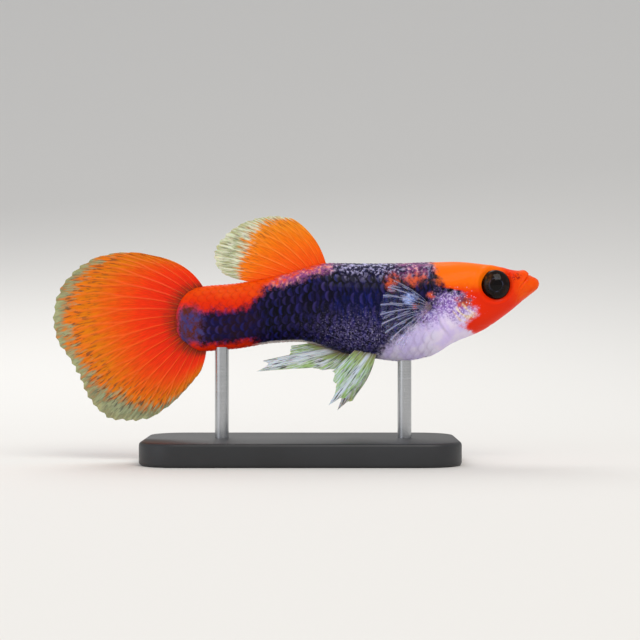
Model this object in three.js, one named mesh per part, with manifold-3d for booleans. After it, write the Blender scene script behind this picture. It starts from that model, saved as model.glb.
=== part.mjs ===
// A male fancy guppy at life size, as a still museum model on two short rods and a flat base.
// Millimetres. +X runs to the snout, +Y to the fish's left and +Z up. The origin is the middle of
// the base's underside. Heights in the fish are counted from its datum, a level line through the
// eye's lower rim, and the whole model is lifted by FISH_HEIGHT at the end.
// The fish swims a little nose-up, with every fin spread and the fin rays raised as ridges.

import * as THREE from "three";
import { mergeVertices } from "three/addons/utils/BufferGeometryUtils.js";
import Module from "manifold-3d";

const wasm = await Module();
wasm.setup();
const { Manifold, Mesh } = wasm;

// Driving dimensions
const FISH_HEIGHT = 13; // datum of the fish above the floor
const GAP = 0.3; // clearance kept between two pieces that meet
const SNOUT_X = 21;
const STALK_END_X = -10.32;

// The body's outline and half breadth at stations along X, snout first
const BODY = [
  { x: SNOUT_X, top: 2.25, low: 2.25, half: 0 },
  { x: 20.85, top: 2.6, low: 1.86, half: 0.5 },
  { x: 20.55, top: 2.8, low: 1.57, half: 0.8 },
  { x: 20.15, top: 2.96, low: 1.27, half: 1.02 },
  { x: 19.82, top: 3.36, low: 1.0, half: 1.18 },
  { x: 19.58, top: 3.43, low: 0.82, half: 1.3 },
  { x: 19.17, top: 3.38, low: 0.46, half: 1.48 },
  { x: 18.22, top: 3.51, low: -0.31, half: 1.8 },
  { x: 16.16, top: 3.91, low: -1.72, half: 2.22 },
  { x: 13.67, top: 4.13, low: -2.8, half: 2.55 },
  { x: 11.6, top: 4.08, low: -3.96, half: 2.68 },
  { x: 9.02, top: 3.99, low: -4.39, half: 2.7 },
  { x: 6.44, top: 3.96, low: -4.09, half: 2.55 },
  { x: 4.29, top: 3.99, low: -3.7, half: 2.35 },
  { x: 2.74, top: 4.0, low: -3.22, half: 2.2 },
  { x: 0.25, top: 3.39, low: -2.72, half: 1.85 },
  { x: -1.81, top: 2.86, low: -2.82, half: 1.55 },
  { x: -5.17, top: 2.24, low: -3.33, half: 1.2 },
  { x: -8.09, top: 1.98, low: -3.53, half: 0.9 },
  { x: -9.0, top: 1.66, low: -3.12, half: 0.74 },
  { x: -9.7, top: 1.02, low: -2.6, half: 0.56 },
  { x: -10.16, top: 0.0, low: -1.85, half: 0.36 },
  { x: STALK_END_X, top: -1.03, low: -1.03, half: 0 },
];
// Cross-section: share of the height at the widest level, and how square it is above and below
const SECTION = [
  { x: SNOUT_X, wide: 0.5, up: 2.2, down: 2.1 },
  { x: 17, wide: 0.6, up: 2.9, down: 2.0 },
  { x: 12, wide: 0.58, up: 2.4, down: 2.1 },
  { x: 4, wide: 0.55, up: 2.1, down: 2.0 },
  { x: STALK_END_X, wide: 0.5, up: 2.0, down: 2.0 },
];
const BODY_STATIONS = 60;
const BODY_SIDES = 36;

// Where the body is parted: the gill opening's line, and the level where the tail stalk begins
const GILL_LINE = [
  [12.8, 5.6],
  [12.2, 2.6],
  [11.86, 0.6],
  [12.38, -1.3],
  [13.5, -2.7],
  [15.2, -4.2],
];
const STALK_LINE = [
  [-5.0, 4],
  [-5.35, 0],
  [-5.7, -5],
];

// Mouth: from the notch before the upper lip to the corner, then down behind the lower jaw
const MOUTH_LINE = [
  [20.6, 3.6],
  [20.1, 3.05],
  [19.55, 2.35],
  [19.2, 1.9],
  [19.0, 1.2],
  [18.85, -1.2],
];
const MOUTH_HALF_WIDTH = 1.12;
const LIP_RADIUS = 0.2;

// Eyes, and the rim of skin round each
const EYE = { x: 17.05, z: 2.12, radius: 1.27, depth: 0.78, proud: 0.34 };
const RIM_RADIUS = 0.17;
const NOSTRIL = { x: 18.85, z: 2.9, radius: 0.19 };

// Fins
const MEMBRANE = 0.5;
const RIDGE = 0.2; // how much thicker a fin is over a ray
const ROOT_DEPTH = 0.9; // how far a fin's blank runs into the body before it is trimmed
const ROOT_FADE = 0.7; // length over which the swelling at a fin's root dies away
// Shares of a ray's length at which a fin has its rows, and where its rays fork and its edge thins
const FIN_ROWS = [0, 0.16, 0.34, 0.5, 0.64, 0.8, 0.93, 1];
const FORK_AT = 0.45;
const THIN_FROM = 0.8;
const EDGE_THINNING = 0.45;
// The tail fin waves sideways: height for each square millimetre along a ray, waves in radians
const TAIL_WAVE = { height: 0.0035, perHeight: 0.62, start: 0.6 };
const DORSAL_WAVE = { height: 0.008, perLength: 0.9 };
const CAUDAL_RAYS = 19;
const CAUDAL_CENTRE = { x: -7.75, z: -1.03 };
const CAUDAL_ROOT = { a: 2.45, b: 2.85, z: -0.85, from: 94, to: 272 };
// Radius of the tail fin's margin at angles counted from +X towards +Z, in degrees
const CAUDAL_MARGIN = [
  { x: 127, r: 7.1 },
  { x: 141, r: 9.55 },
  { x: 150, r: 11.1 },
  { x: 158, r: 12.1 },
  { x: 167, r: 12.95 },
  { x: 176.5, r: 13.25 },
  { x: 187, r: 12.95 },
  { x: 197, r: 12.05 },
  { x: 205, r: 11.85 },
  { x: 214, r: 12.15 },
  { x: 223, r: 12.05 },
  { x: 232, r: 10.95 },
  { x: 240, r: 9.75 },
  { x: 249, r: 7.5 },
  { x: 256, r: 5.8 },
  { x: 264, r: 4.5 },
];
// Dorsal and anal fin: each ray's root along X, its tip, and how far its middle bulges forward
const DORSAL_RAYS = [
  { root: 2.65, tip: [-0.35, 7.95], bow: 0.5 },
  { root: 2.15, tip: [-1.85, 8.12], bow: 0.5 },
  { root: 1.65, tip: [-3.25, 7.95], bow: 0.5 },
  { root: 1.1, tip: [-4.5, 7.6], bow: 0.45 },
  { root: 0.55, tip: [-5.75, 6.8], bow: 0.35 },
  { root: -0.1, tip: [-6.75, 5.75], bow: 0.25 },
  { root: -0.8, tip: [-7.05, 4.75], bow: 0.15 },
  { root: -1.7, tip: [-6.85, 3.75], bow: 0.05 },
  { root: -2.8, tip: [-6.2, 3.05], bow: -0.05 },
  { root: -4.0, tip: [-5.3, 2.72], bow: 0 },
];
const ANAL_RAYS = [
  { root: 4.7, tip: [3.3, -5.12], bow: 0.15 },
  { root: 4.35, tip: [2.3, -5.22], bow: 0.15 },
  { root: 4.0, tip: [1.4, -5.0], bow: 0.15 },
  { root: 3.7, tip: [-3.35, -5.3], bow: 0.1 },
  { root: 3.4, tip: [-2.3, -4.7], bow: 0.0 },
  { root: 3.1, tip: [-2.9, -4.4], bow: -0.1 },
  { root: 2.6, tip: [-0.6, -3.95], bow: 0.0 },
  { root: 2.0, tip: [-0.5, -3.5], bow: 0.0 },
  { root: 1.3, tip: [-0.45, -3.1], bow: 0.0 },
];
// Paired fins, given for the right side. The left pelvic fin is swung forward by its own angle.
const PELVIC_RAYS = [
  { root: 7.0, tip: [5.0, -6.75], bow: 0.25 },
  { root: 6.75, tip: [4.3, -7.5], bow: 0.15 },
  { root: 6.5, tip: [2.8, -8.15], bow: 0 },
  { root: 6.1, tip: [3.4, -7.0], bow: 0 },
  { root: 5.7, tip: [3.2, -6.1], bow: 0 },
  { root: 5.2, tip: [3.15, -5.3], bow: 0 },
];
const PELVIC_INSET = 0.95; // from the midline to a pelvic fin's root
const PELVIC_SPLAY = 0.22; // sideways for each millimetre down
const LEFT_PELVIC_SWING = 10; // degrees forward
const PECTORAL = {
  rays: 10,
  top: [11.15, 0.7],
  bottom: [10.85, -0.6],
  length: 3.6,
  from: 148,
  to: 238,
  sunk: 0.25,
  stepOut: 0.95,
  splay: 0.16,
};

// Stand
const BASE = { length: 27, width: 15, thick: 2, corner: 3, bevel: 0.3, x: 0.5 };
const ROD_RADIUS = 0.6;
const ROD_X = { front: 9.4, rear: -6.3 };
const ROD_SIDES = 20;
const ROD_REACH = 1.5; // how far a rod's blank runs into the body before it is trimmed

const COLOURS = {
  head: 0xf4581a,
  jaw: 0xf86a1c,
  trunk: 0x2a2852,
  stalk: 0xd9501e,
  fin: 0xf0742a,
  clearFin: 0xc9d8c0,
  eye: 0x120c0a,
  base: 0x26282b,
  rod: 0xb8bcc0,
};

const radians = (degrees) => (degrees * Math.PI) / 180;
const mix = (a, b, t) => a + (b - a) * t;
const smooth = (t) => {
  const s = Math.min(Math.max(t, 0), 1);
  return s * s * (3 - 2 * s);
};

// Value of a table's column at x, on a cubic that never overshoots the rows around it
function valueAt(table, key, x) {
  const rows = table[0].x < table.at(-1).x ? table : [...table].reverse();
  const last = rows.length - 1;
  const i = Math.min(Math.max(rows.findIndex((row) => row.x > x) - 1, 0), last - 1);
  const at = x >= rows[last].x ? last - 1 : i;
  const slope = (k) => (rows[k + 1][key] - rows[k][key]) / (rows[k + 1].x - rows[k].x);
  const tangent = (k) => {
    if (k === 0) return slope(0);
    if (k === last) return slope(last - 1);
    const before = slope(k - 1);
    const after = slope(k);
    return before * after <= 0 ? 0 : (2 * before * after) / (before + after);
  };
  const h = rows[at + 1].x - rows[at].x;
  const t = Math.min(Math.max((x - rows[at].x) / h, 0), 1);
  return (
    rows[at][key] * (1 + 2 * t) * (1 - t) ** 2 +
    tangent(at) * h * t * (1 - t) ** 2 +
    rows[at + 1][key] * t * t * (3 - 2 * t) +
    tangent(at + 1) * h * t * t * (t - 1)
  );
}

// A closed solid from points and triangles, turned to face out
function solidOf(points, triangles) {
  let volume = 0;
  for (const [a, b, c] of triangles) {
    volume += points[a].dot(new THREE.Vector3().crossVectors(points[b], points[c]));
  }
  const faces = volume < 0 ? triangles.map(([a, b, c]) => [a, c, b]) : triangles;
  const mesh = new Mesh({
    numProp: 3,
    vertProperties: new Float32Array(points.flatMap((p) => [p.x, p.y, p.z])),
    triVerts: new Uint32Array(faces.flat()),
  });
  return new Manifold(mesh);
}

// The solid of a three.js geometry whose surface is closed
function solidOfGeometry(geometry) {
  const plain = geometry.clone();
  plain.deleteAttribute("normal");
  plain.deleteAttribute("uv");
  const merged = mergeVertices(plain, 1e-4);
  const p = merged.getAttribute("position");
  const points = [...Array(p.count).keys()].map((i) => new THREE.Vector3().fromBufferAttribute(p, i));
  const triangles = [];
  for (let i = 0; i < merged.index.count; i += 3) {
    triangles.push([0, 1, 2].map((k) => merged.index.getX(i + k)));
  }
  return solidOf(points, triangles);
}

const bySize = (solid) => solid.decompose().sort((a, b) => b.volume() - a.volume());
const largest = (solid) => bySize(solid)[0];
const union = (solids) => solids.reduce((a, b) => a.add(b));

// Loft through closed rings of equal length, with a point at each end
function loft(first, rings, last) {
  const sides = rings[0].length;
  const points = [first, ...rings.flat(), last];
  const id = (ring, side) => 1 + ring * sides + (side % sides);
  const triangles = [];
  for (let s = 0; s < sides; s++) {
    triangles.push([0, id(0, s + 1), id(0, s)]);
    triangles.push([points.length - 1, id(rings.length - 1, s), id(rings.length - 1, s + 1)]);
    for (let r = 0; r + 1 < rings.length; r++) {
      triangles.push([id(r, s), id(r, s + 1), id(r + 1, s + 1)]);
      triangles.push([id(r, s), id(r + 1, s + 1), id(r + 1, s)]);
    }
  }
  return solidOf(points, triangles);
}

// Body section at x
function sectionAt(x) {
  const top = valueAt(BODY, "top", x);
  const low = valueAt(BODY, "low", x);
  const level = mix(low, top, valueAt(SECTION, "wide", x));
  return {
    level,
    half: valueAt(BODY, "half", x),
    rise: top - level,
    drop: level - low,
    up: valueAt(SECTION, "up", x),
    down: valueAt(SECTION, "down", x),
  };
}

// Point of the body's surface at x and an angle round it, 0 on the left side and 90 on the back
function bodyPoint(x, angle) {
  const s = sectionAt(x);
  const c = Math.cos(angle);
  const k = Math.sin(angle);
  const power = 2 / (k > 0 ? s.up : s.down);
  const y = s.half * Math.sign(c) * Math.abs(c) ** power;
  const z = s.level + (k > 0 ? s.rise : s.drop) * Math.sign(k) * Math.abs(k) ** power;
  return new THREE.Vector3(x, y, z);
}

// Half breadth of the body at x and height z, 0 above or below it
function sideAt(x, z) {
  const s = sectionAt(x);
  const share = z > s.level ? (z - s.level) / s.rise : (s.level - z) / s.drop;
  const power = z > s.level ? s.up : s.down;
  return share >= 1 ? 0 : s.half * (1 - share ** power) ** (1 / power);
}

// The whole body, or the body grown by a clearance along its normals
function bodySolid(grow) {
  const nudge = 0.01;
  const rings = [];
  for (let i = 1; i < BODY_STATIONS; i++) {
    const share = (1 - Math.cos((Math.PI * i) / BODY_STATIONS)) / 2;
    const x = mix(STALK_END_X, SNOUT_X, share);
    const ring = [];
    for (let j = 0; j < BODY_SIDES; j++) {
      const angle = (2 * Math.PI * j) / BODY_SIDES;
      const here = bodyPoint(x, angle);
      const along = bodyPoint(x + nudge, angle).sub(bodyPoint(x - nudge, angle));
      const round = bodyPoint(x, angle + nudge).sub(bodyPoint(x, angle - nudge));
      const out = new THREE.Vector3().crossVectors(round, along).normalize();
      ring.push(here.addScaledVector(out, grow));
    }
    rings.push(ring);
  }
  const tail = new THREE.Vector3(STALK_END_X - grow, 0, valueAt(BODY, "top", STALK_END_X));
  const snout = new THREE.Vector3(SNOUT_X + grow, 0, valueAt(BODY, "top", SNOUT_X));
  return loft(tail, rings, snout);
}

// A thin upright wall that follows a line in the XZ plane and crosses the whole body
function wallAlong(line, thickness) {
  const points = new THREE.SplineCurve(line.map(([x, z]) => new THREE.Vector2(x, z))).getPoints(24);
  const side = (sign) =>
    points.map((p, i) => {
      const before = points[Math.max(i - 1, 0)];
      const after = points[Math.min(i + 1, points.length - 1)];
      const run = after.clone().sub(before).normalize();
      return new THREE.Vector2(p.x - (sign * run.y * thickness) / 2, p.y + (sign * run.x * thickness) / 2);
    });
  const outline = new THREE.Shape([...side(1), ...side(-1).reverse()]);
  return wallOf(outline, 8);
}

// An outline in the XZ plane, made a solid that reaches halfWidth to both sides of the midline
function wallOf(outline, halfWidth) {
  const geometry = new THREE.ExtrudeGeometry(outline, {
    depth: 2 * halfWidth,
    bevelEnabled: false,
    curveSegments: 8,
  });
  geometry.rotateX(Math.PI / 2).translate(0, halfWidth, 0);
  return solidOfGeometry(geometry);
}

// A closed ring of round section through the points, radius given
function ringTube(points, radius, sides) {
  const count = points.length;
  const vertices = [];
  points.forEach((p, i) => {
    const run = points[(i + 1) % count].clone().sub(points[(i + count - 1) % count]).normalize();
    const across = new THREE.Vector3(0, 1, 0).cross(run).normalize();
    const out = new THREE.Vector3().crossVectors(run, across);
    for (let s = 0; s < sides; s++) {
      const a = (2 * Math.PI * s) / sides;
      vertices.push(
        p.clone().addScaledVector(across, radius * Math.cos(a)).addScaledVector(out, radius * Math.sin(a)),
      );
    }
  });
  const id = (i, s) => (i % count) * sides + (s % sides);
  const triangles = [];
  for (let i = 0; i < count; i++) {
    for (let s = 0; s < sides; s++) {
      triangles.push([id(i, s), id(i, s + 1), id(i + 1, s + 1)]);
      triangles.push([id(i, s), id(i + 1, s + 1), id(i + 1, s)]);
    }
  }
  return solidOf(vertices, triangles);
}

// A rounded rod along points, ending in a point at both ends
function rodTube(points, radius, sides) {
  const curve = new THREE.CatmullRomCurve3(points);
  const steps = 16;
  const rings = [];
  for (let i = 1; i < steps; i++) {
    const t = i / steps;
    const p = curve.getPoint(t);
    const run = curve.getTangent(t);
    const across = new THREE.Vector3(0, 0, 1).cross(run).normalize();
    const out = new THREE.Vector3().crossVectors(run, across);
    const r = radius * Math.sqrt(Math.sin(Math.PI * t));
    rings.push(
      [...Array(sides).keys()].map((s) => {
        const a = (2 * Math.PI * s) / sides;
        return p.clone().addScaledVector(across, r * Math.cos(a)).addScaledVector(out, r * Math.sin(a));
      }),
    );
  }
  return loft(points[0], rings, points.at(-1));
}

function ellipsoid(centre, radii, widthSegments, heightSegments) {
  const geometry = new THREE.SphereGeometry(1, widthSegments, heightSegments);
  geometry.scale(radii.x, radii.y, radii.z).translate(centre.x, centre.y, centre.z);
  return solidOfGeometry(geometry);
}

// Ray of a fin at u, whole numbers being the rays themselves and the rest lying between two
function rayAt(rays, u) {
  const i = Math.min(Math.floor(u), rays.length - 2);
  const t = u - i;
  const [a, b] = [rays[i], rays[i + 1]];
  return {
    root: a.root.clone().lerp(b.root, t),
    tip: a.tip.clone().lerp(b.tip, t),
    bow: a.bow.clone().lerp(b.bow, t),
  };
}

// One fin. Its blank is a sheet in the XZ plane, thick along Y, whose columns run along the rays
// from inside the body to the margin. Rays are ridges, and where forked each one splits in two.
//   rays       root and tip of each ray and how far its control point lies off the middle
//              between them, as Vector2 in XZ
//   perRay     columns for each ray, 4 if the rays fork and 2 if they don't
//   notch      how far the membrane between two rays falls short of their tips
//   middle     (x, z, along) => y of the sheet's middle surface
//   rootSwell  extra thickness at the root
function finSolid({ rays, perRay, notch, middle, rootSwell = 0 }) {
  const columns = (rays.length - 1) * perRay;
  const faces = [[], []];
  for (let c = 0; c <= columns; c++) {
    const ray = rayAt(rays, c / perRay);
    const place = (c % perRay) / perRay;
    const between = Math.min(place, 1 - place) * 2;
    const length = ray.tip.distanceTo(ray.root);
    const control = ray.root.clone().lerp(ray.tip, 0.5).add(ray.bow);
    const back = ray.root.clone().sub(control).normalize().multiplyScalar(ROOT_DEPTH);
    const end = 1 - (notch * (perRay === 4 ? Math.abs(between - 0.5) * 2 : between)) / length;
    const rows = [-1, ...FIN_ROWS].map((v) => {
      const t = v < 0 ? 0 : v * end;
      const p = ray.root
        .clone()
        .multiplyScalar((1 - t) ** 2)
        .addScaledVector(control, 2 * t * (1 - t))
        .addScaledVector(ray.tip, t * t);
      if (v < 0) p.add(back);
      const forked = perRay === 4 ? smooth((v - FORK_AT) / 0.2) : 0;
      const crest = between === 0 ? 1 - 0.8 * forked : between === 0.5 ? 0.3 + 0.7 * forked : 0;
      const taper = 1 - EDGE_THINNING * smooth((v - THIN_FROM) / (1 - THIN_FROM));
      const swell = rootSwell * Math.exp((-Math.max(v, 0) * length) / ROOT_FADE);
      const along = v < 0 ? -ROOT_DEPTH : t * length;
      return { p, along, thick: (MEMBRANE + RIDGE * crest) * taper + swell };
    });
    [1, -1].forEach((sign, face) => {
      faces[face].push(
        rows.map(({ p, along, thick }) => {
          const y = middle(p.x, p.y, along) + (sign * thick) / 2;
          return new THREE.Vector3(p.x, y, p.y);
        }),
      );
    });
  }
  return sheetSolid(faces[0], faces[1]);
}

// A sheet between two grids of points, split into triangles alike on both faces
function sheetSolid(front, back) {
  const columns = front.length;
  const rows = front[0].length;
  const points = [...front.flat(), ...back.flat()];
  const id = (face, c, r) => face * columns * rows + c * rows + r;
  const triangles = [];
  const quad = (a, b, c, d) => triangles.push([a, b, c], [a, c, d]);
  for (let c = 0; c + 1 < columns; c++) {
    for (let r = 0; r + 1 < rows; r++) {
      quad(id(0, c, r), id(0, c + 1, r), id(0, c + 1, r + 1), id(0, c, r + 1));
      triangles.push([id(1, c, r), id(1, c + 1, r + 1), id(1, c + 1, r)]);
      triangles.push([id(1, c, r), id(1, c, r + 1), id(1, c + 1, r + 1)]);
    }
    quad(id(0, c, 0), id(1, c, 0), id(1, c + 1, 0), id(0, c + 1, 0));
    quad(id(0, c, rows - 1), id(0, c + 1, rows - 1), id(1, c + 1, rows - 1), id(1, c, rows - 1));
  }
  for (let r = 0; r + 1 < rows; r++) {
    quad(id(0, 0, r), id(0, 0, r + 1), id(1, 0, r + 1), id(1, 0, r));
    const c = columns - 1;
    quad(id(0, c, r), id(1, c, r), id(1, c, r + 1), id(0, c, r + 1));
  }
  return solidOf(points, triangles);
}

// A ray that bulges by bulge at the middle of its line, to the right as seen from root to tip.
// A quadratic curve passes half as far from its line as its control point lies.
function makeRay(root, tip, bulge) {
  const line = tip.clone().sub(root);
  const aside = new THREE.Vector2(line.y, -line.x).normalize();
  return { root, tip, bow: aside.multiplyScalar(2 * bulge) };
}

// Body, parted at the gill opening and at the tail stalk
const body = bodySolid(0);
const clearance = bodySolid(GAP);
const [foreBody, stalk] = bySize(body.subtract(wallAlong(STALK_LINE, GAP)));
const [trunk, forward] = bySize(foreBody.subtract(wallAlong(GILL_LINE, GAP)));

// Lips run from one corner of the mouth round the front to the other
function lip(corner, front, halfWidth) {
  const points = [-90, -60, -30, 0, 30, 60, 90].map((degrees) => {
    const round = Math.cos(radians(degrees));
    return new THREE.Vector3(
      mix(corner[0], front[0], round),
      halfWidth * Math.sin(radians(degrees)),
      mix(corner[1], front[1], round ** 0.8),
    );
  });
  return rodTube(points, LIP_RADIUS, 8);
}

function eyeCentre(side) {
  return new THREE.Vector3(EYE.x, side * (sideAt(EYE.x, EYE.z) + EYE.proud - EYE.depth), EYE.z);
}

function eyeRim(side) {
  const count = 26;
  const radius = EYE.radius + GAP + 0.05;
  const points = [...Array(count).keys()].map((i) => {
    const a = (2 * Math.PI * i) / count;
    const x = EYE.x + radius * Math.cos(a);
    const z = EYE.z + radius * Math.sin(a);
    return new THREE.Vector3(x, side * sideAt(x, z), z);
  });
  return ringTube(points, RIM_RADIUS, 6);
}

// Head and lower jaw: lips and eye rims joined on, then sockets, nostrils and the mouth cut
function headPieces() {
  const socket = EYE.radius + GAP;
  const added = [
    lip([19.45, 2.2], [19.75, 3.2], MOUTH_HALF_WIDTH),
    lip([19.5, 1.9], [20.62, 2.62], MOUTH_HALF_WIDTH - 0.12),
    eyeRim(1),
    eyeRim(-1),
  ];
  const cuts = [1, -1].flatMap((side) => [
    ellipsoid(eyeCentre(side), { x: socket, y: EYE.depth + GAP, z: socket }, 24, 12),
    ellipsoid(
      { x: NOSTRIL.x, y: side * sideAt(NOSTRIL.x, NOSTRIL.z), z: NOSTRIL.z },
      { x: NOSTRIL.radius, y: NOSTRIL.radius, z: NOSTRIL.radius },
      8,
      6,
    ),
  ]);
  const whole = union([forward, ...added]);
  return bySize(whole.subtract(union(cuts)).subtract(wallAlong(MOUTH_LINE, GAP)));
}
const [head, jaw] = headPieces();

// Tail fin: roots round the end of the stalk, margin by its radius about the fin's centre
function caudalFin() {
  const rays = [...Array(CAUDAL_RAYS).keys()].map((i) => {
    const share = i / (CAUDAL_RAYS - 1);
    const rootAngle = radians(mix(CAUDAL_ROOT.from, CAUDAL_ROOT.to, share));
    const degrees = mix(CAUDAL_MARGIN[0].x, CAUDAL_MARGIN.at(-1).x, share);
    const radius = valueAt(CAUDAL_MARGIN, "r", degrees);
    const root = new THREE.Vector2(
      CAUDAL_CENTRE.x + CAUDAL_ROOT.a * Math.cos(rootAngle),
      CAUDAL_ROOT.z + CAUDAL_ROOT.b * Math.sin(rootAngle),
    );
    const tip = new THREE.Vector2(
      CAUDAL_CENTRE.x + radius * Math.cos(radians(degrees)),
      CAUDAL_CENTRE.z + radius * Math.sin(radians(degrees)),
    );
    // the ray leaves the stalk midway between square to it and straight at the tip
    const line = tip.clone().sub(root);
    const half = line.clone().divideScalar(2);
    const out = new THREE.Vector2(Math.cos(rootAngle), Math.sin(rootAngle));
    const start = out.add(line.clone().normalize()).setLength(half.length());
    return { root, tip, bow: start.sub(half) };
  });
  const wave = (z) => TAIL_WAVE.height * Math.sin(TAIL_WAVE.perHeight * z + TAIL_WAVE.start);
  const middle = (x, z, along) => wave(z) * Math.max(along, 0) ** 2;
  return largest(finSolid({ rays, perRay: 4, notch: 0.22, middle }).subtract(clearance));
}

// A fin on the midline, its roots on the back or on the underside
function medianFin(rows, edge, perRay, notch, waveHeight) {
  const rays = rows.map(({ root, tip, bow }) =>
    makeRay(
      new THREE.Vector2(root, valueAt(BODY, edge, root)),
      new THREE.Vector2(...tip),
      edge === "top" ? bow : -bow,
    ),
  );
  const wave = (x) => waveHeight * Math.sin(DORSAL_WAVE.perLength * x);
  const middle = (x, z, along) => wave(x) * Math.max(along, 0) ** 2;
  return largest(finSolid({ rays, perRay, notch, middle }).subtract(clearance));
}

function pelvicFin(side, swing) {
  const rootZ = (x) => {
    const s = sectionAt(x);
    return s.level - s.drop * (1 - (PELVIC_INSET / s.half) ** s.down) ** (1 / s.down);
  };
  const pivot = new THREE.Vector2(PELVIC_RAYS[0].root, rootZ(PELVIC_RAYS[0].root));
  const rays = PELVIC_RAYS.map(({ root, tip, bow }) =>
    makeRay(
      new THREE.Vector2(root, rootZ(root) + 0.2),
      new THREE.Vector2(...tip).rotateAround(pivot, radians(swing)),
      -bow,
    ),
  );
  const middle = (x, z, along) => side * (PELVIC_INSET + PELVIC_SPLAY * Math.max(along, 0));
  return largest(finSolid({ rays, perRay: 2, notch: 0.3, middle, rootSwell: 0.15 }).subtract(clearance));
}

// The pectoral fin's root is sunk in the flank. The fin steps out from it within half a
// millimetre and then lies back along the body, splayed a little.
function pectoralFin(side) {
  const top = new THREE.Vector2(...PECTORAL.top);
  const bottom = new THREE.Vector2(...PECTORAL.bottom);
  const rays = [...Array(PECTORAL.rays).keys()].map((i) => {
    const share = i / (PECTORAL.rays - 1);
    const angle = radians(mix(PECTORAL.from, PECTORAL.to, share));
    const root = top.clone().lerp(bottom, share);
    const length = PECTORAL.length * (0.8 + 0.3 * Math.sin(Math.PI * (0.15 + 0.75 * share)));
    const tip = root.clone().add(new THREE.Vector2(Math.cos(angle), Math.sin(angle)).multiplyScalar(length));
    return makeRay(root, tip, 0.15);
  });
  const rootSide = sideAt(top.x, 0) - PECTORAL.sunk;
  const stepOut = (along) => PECTORAL.stepOut * (1 - Math.exp(-(along + 0.1) / 0.5));
  const middle = (x, z, along) => side * (rootSide + stepOut(along) + PECTORAL.splay * along);
  return largest(finSolid({ rays, perRay: 2, notch: 0.12, middle, rootSwell: 0.35 }).subtract(clearance));
}

// Stand: a bevelled plate, and two rods that reach from it to the belly and the stalk
function baseSolid() {
  const { length, width, thick, corner, bevel } = BASE;
  const [a, b] = [length / 2 - bevel, width / 2 - bevel];
  const outline = new THREE.Shape();
  outline.moveTo(-a + corner, -b).lineTo(a - corner, -b);
  outline.absarc(a - corner, -b + corner, corner, -Math.PI / 2, 0, false);
  outline.absarc(a - corner, b - corner, corner, 0, Math.PI / 2, false);
  outline.absarc(-a + corner, b - corner, corner, Math.PI / 2, Math.PI, false);
  outline.absarc(-a + corner, -b + corner, corner, Math.PI, 1.5 * Math.PI, false);
  const geometry = new THREE.ExtrudeGeometry(outline, {
    depth: thick - 2 * bevel,
    bevelThickness: bevel,
    bevelSize: bevel,
    bevelSegments: 1,
    curveSegments: 6,
  });
  geometry.translate(BASE.x, 0, bevel - FISH_HEIGHT);
  return solidOfGeometry(geometry);
}

function rodSolid(x) {
  const foot = BASE.thick + GAP - FISH_HEIGHT;
  const tip = valueAt(BODY, "low", x) + ROD_REACH;
  const geometry = new THREE.CylinderGeometry(ROD_RADIUS, ROD_RADIUS, tip - foot, ROD_SIDES);
  geometry.rotateX(Math.PI / 2).translate(x, 0, (foot + tip) / 2);
  return largest(solidOfGeometry(geometry).subtract(clearance));
}

function nodeMesh(name, solid, colour, roughness, metalness = 0) {
  const m = solid.getMesh();
  const positions = new Float32Array(m.numVert * 3);
  for (let i = 0; i < m.numVert; i++) {
    positions.set(m.vertProperties.subarray(i * m.numProp, i * m.numProp + 3), i * 3);
  }
  const geometry = new THREE.BufferGeometry();
  geometry.setAttribute("position", new THREE.BufferAttribute(positions, 3));
  geometry.setIndex(new THREE.BufferAttribute(m.triVerts, 1));
  geometry.computeVertexNormals();
  const material = new THREE.MeshStandardMaterial({ color: colour, roughness, metalness });
  const mesh = new THREE.Mesh(geometry, material);
  mesh.name = name;
  return mesh;
}

function eyeSolid(side) {
  return ellipsoid(eyeCentre(side), { x: EYE.radius, y: EYE.depth, z: EYE.radius }, 20, 12);
}

const guppy = new THREE.Group();
guppy.position.z = FISH_HEIGHT;
guppy.add(
  nodeMesh("head", head, COLOURS.head, 0.35),
  nodeMesh("lower_jaw", jaw, COLOURS.jaw, 0.35),
  nodeMesh("trunk", trunk, COLOURS.trunk, 0.35),
  nodeMesh("tail_stalk", stalk, COLOURS.stalk, 0.35),
  nodeMesh("caudal_fin", caudalFin(), COLOURS.fin, 0.4),
  nodeMesh("dorsal_fin", medianFin(DORSAL_RAYS, "top", 4, 0.15, DORSAL_WAVE.height), COLOURS.fin, 0.4),
  nodeMesh("anal_fin", medianFin(ANAL_RAYS, "low", 2, 0.1, 0), COLOURS.clearFin, 0.4),
  nodeMesh("pelvic_fin_right", pelvicFin(-1, 0), COLOURS.clearFin, 0.4),
  nodeMesh("pelvic_fin_left", pelvicFin(1, LEFT_PELVIC_SWING), COLOURS.clearFin, 0.4),
  nodeMesh("pectoral_fin_right", pectoralFin(-1), COLOURS.clearFin, 0.4),
  nodeMesh("pectoral_fin_left", pectoralFin(1), COLOURS.clearFin, 0.4),
  nodeMesh("eye_right", eyeSolid(-1), COLOURS.eye, 0.1),
  nodeMesh("eye_left", eyeSolid(1), COLOURS.eye, 0.1),
  nodeMesh("stand_base", baseSolid(), COLOURS.base, 0.4),
  nodeMesh("stand_rod_front", rodSolid(ROD_X.front), COLOURS.rod, 0.25, 1),
  nodeMesh("stand_rod_rear", rodSolid(ROD_X.rear), COLOURS.rod, 0.25, 1),
);

export default guppy;
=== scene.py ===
# %% [markdown]
# # A male fancy guppy at life size
# The fish swims a little nose up, 42 mm from snout to tail edge, with every fin spread. The frame
# from the CAD model gives where everything is. This lesson makes the looks: one skin over the whole
# body, thin scales that lie on it, wet eyes, clear fins with forked rays, and a plain stand.

# %% Frame and units
import math

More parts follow.
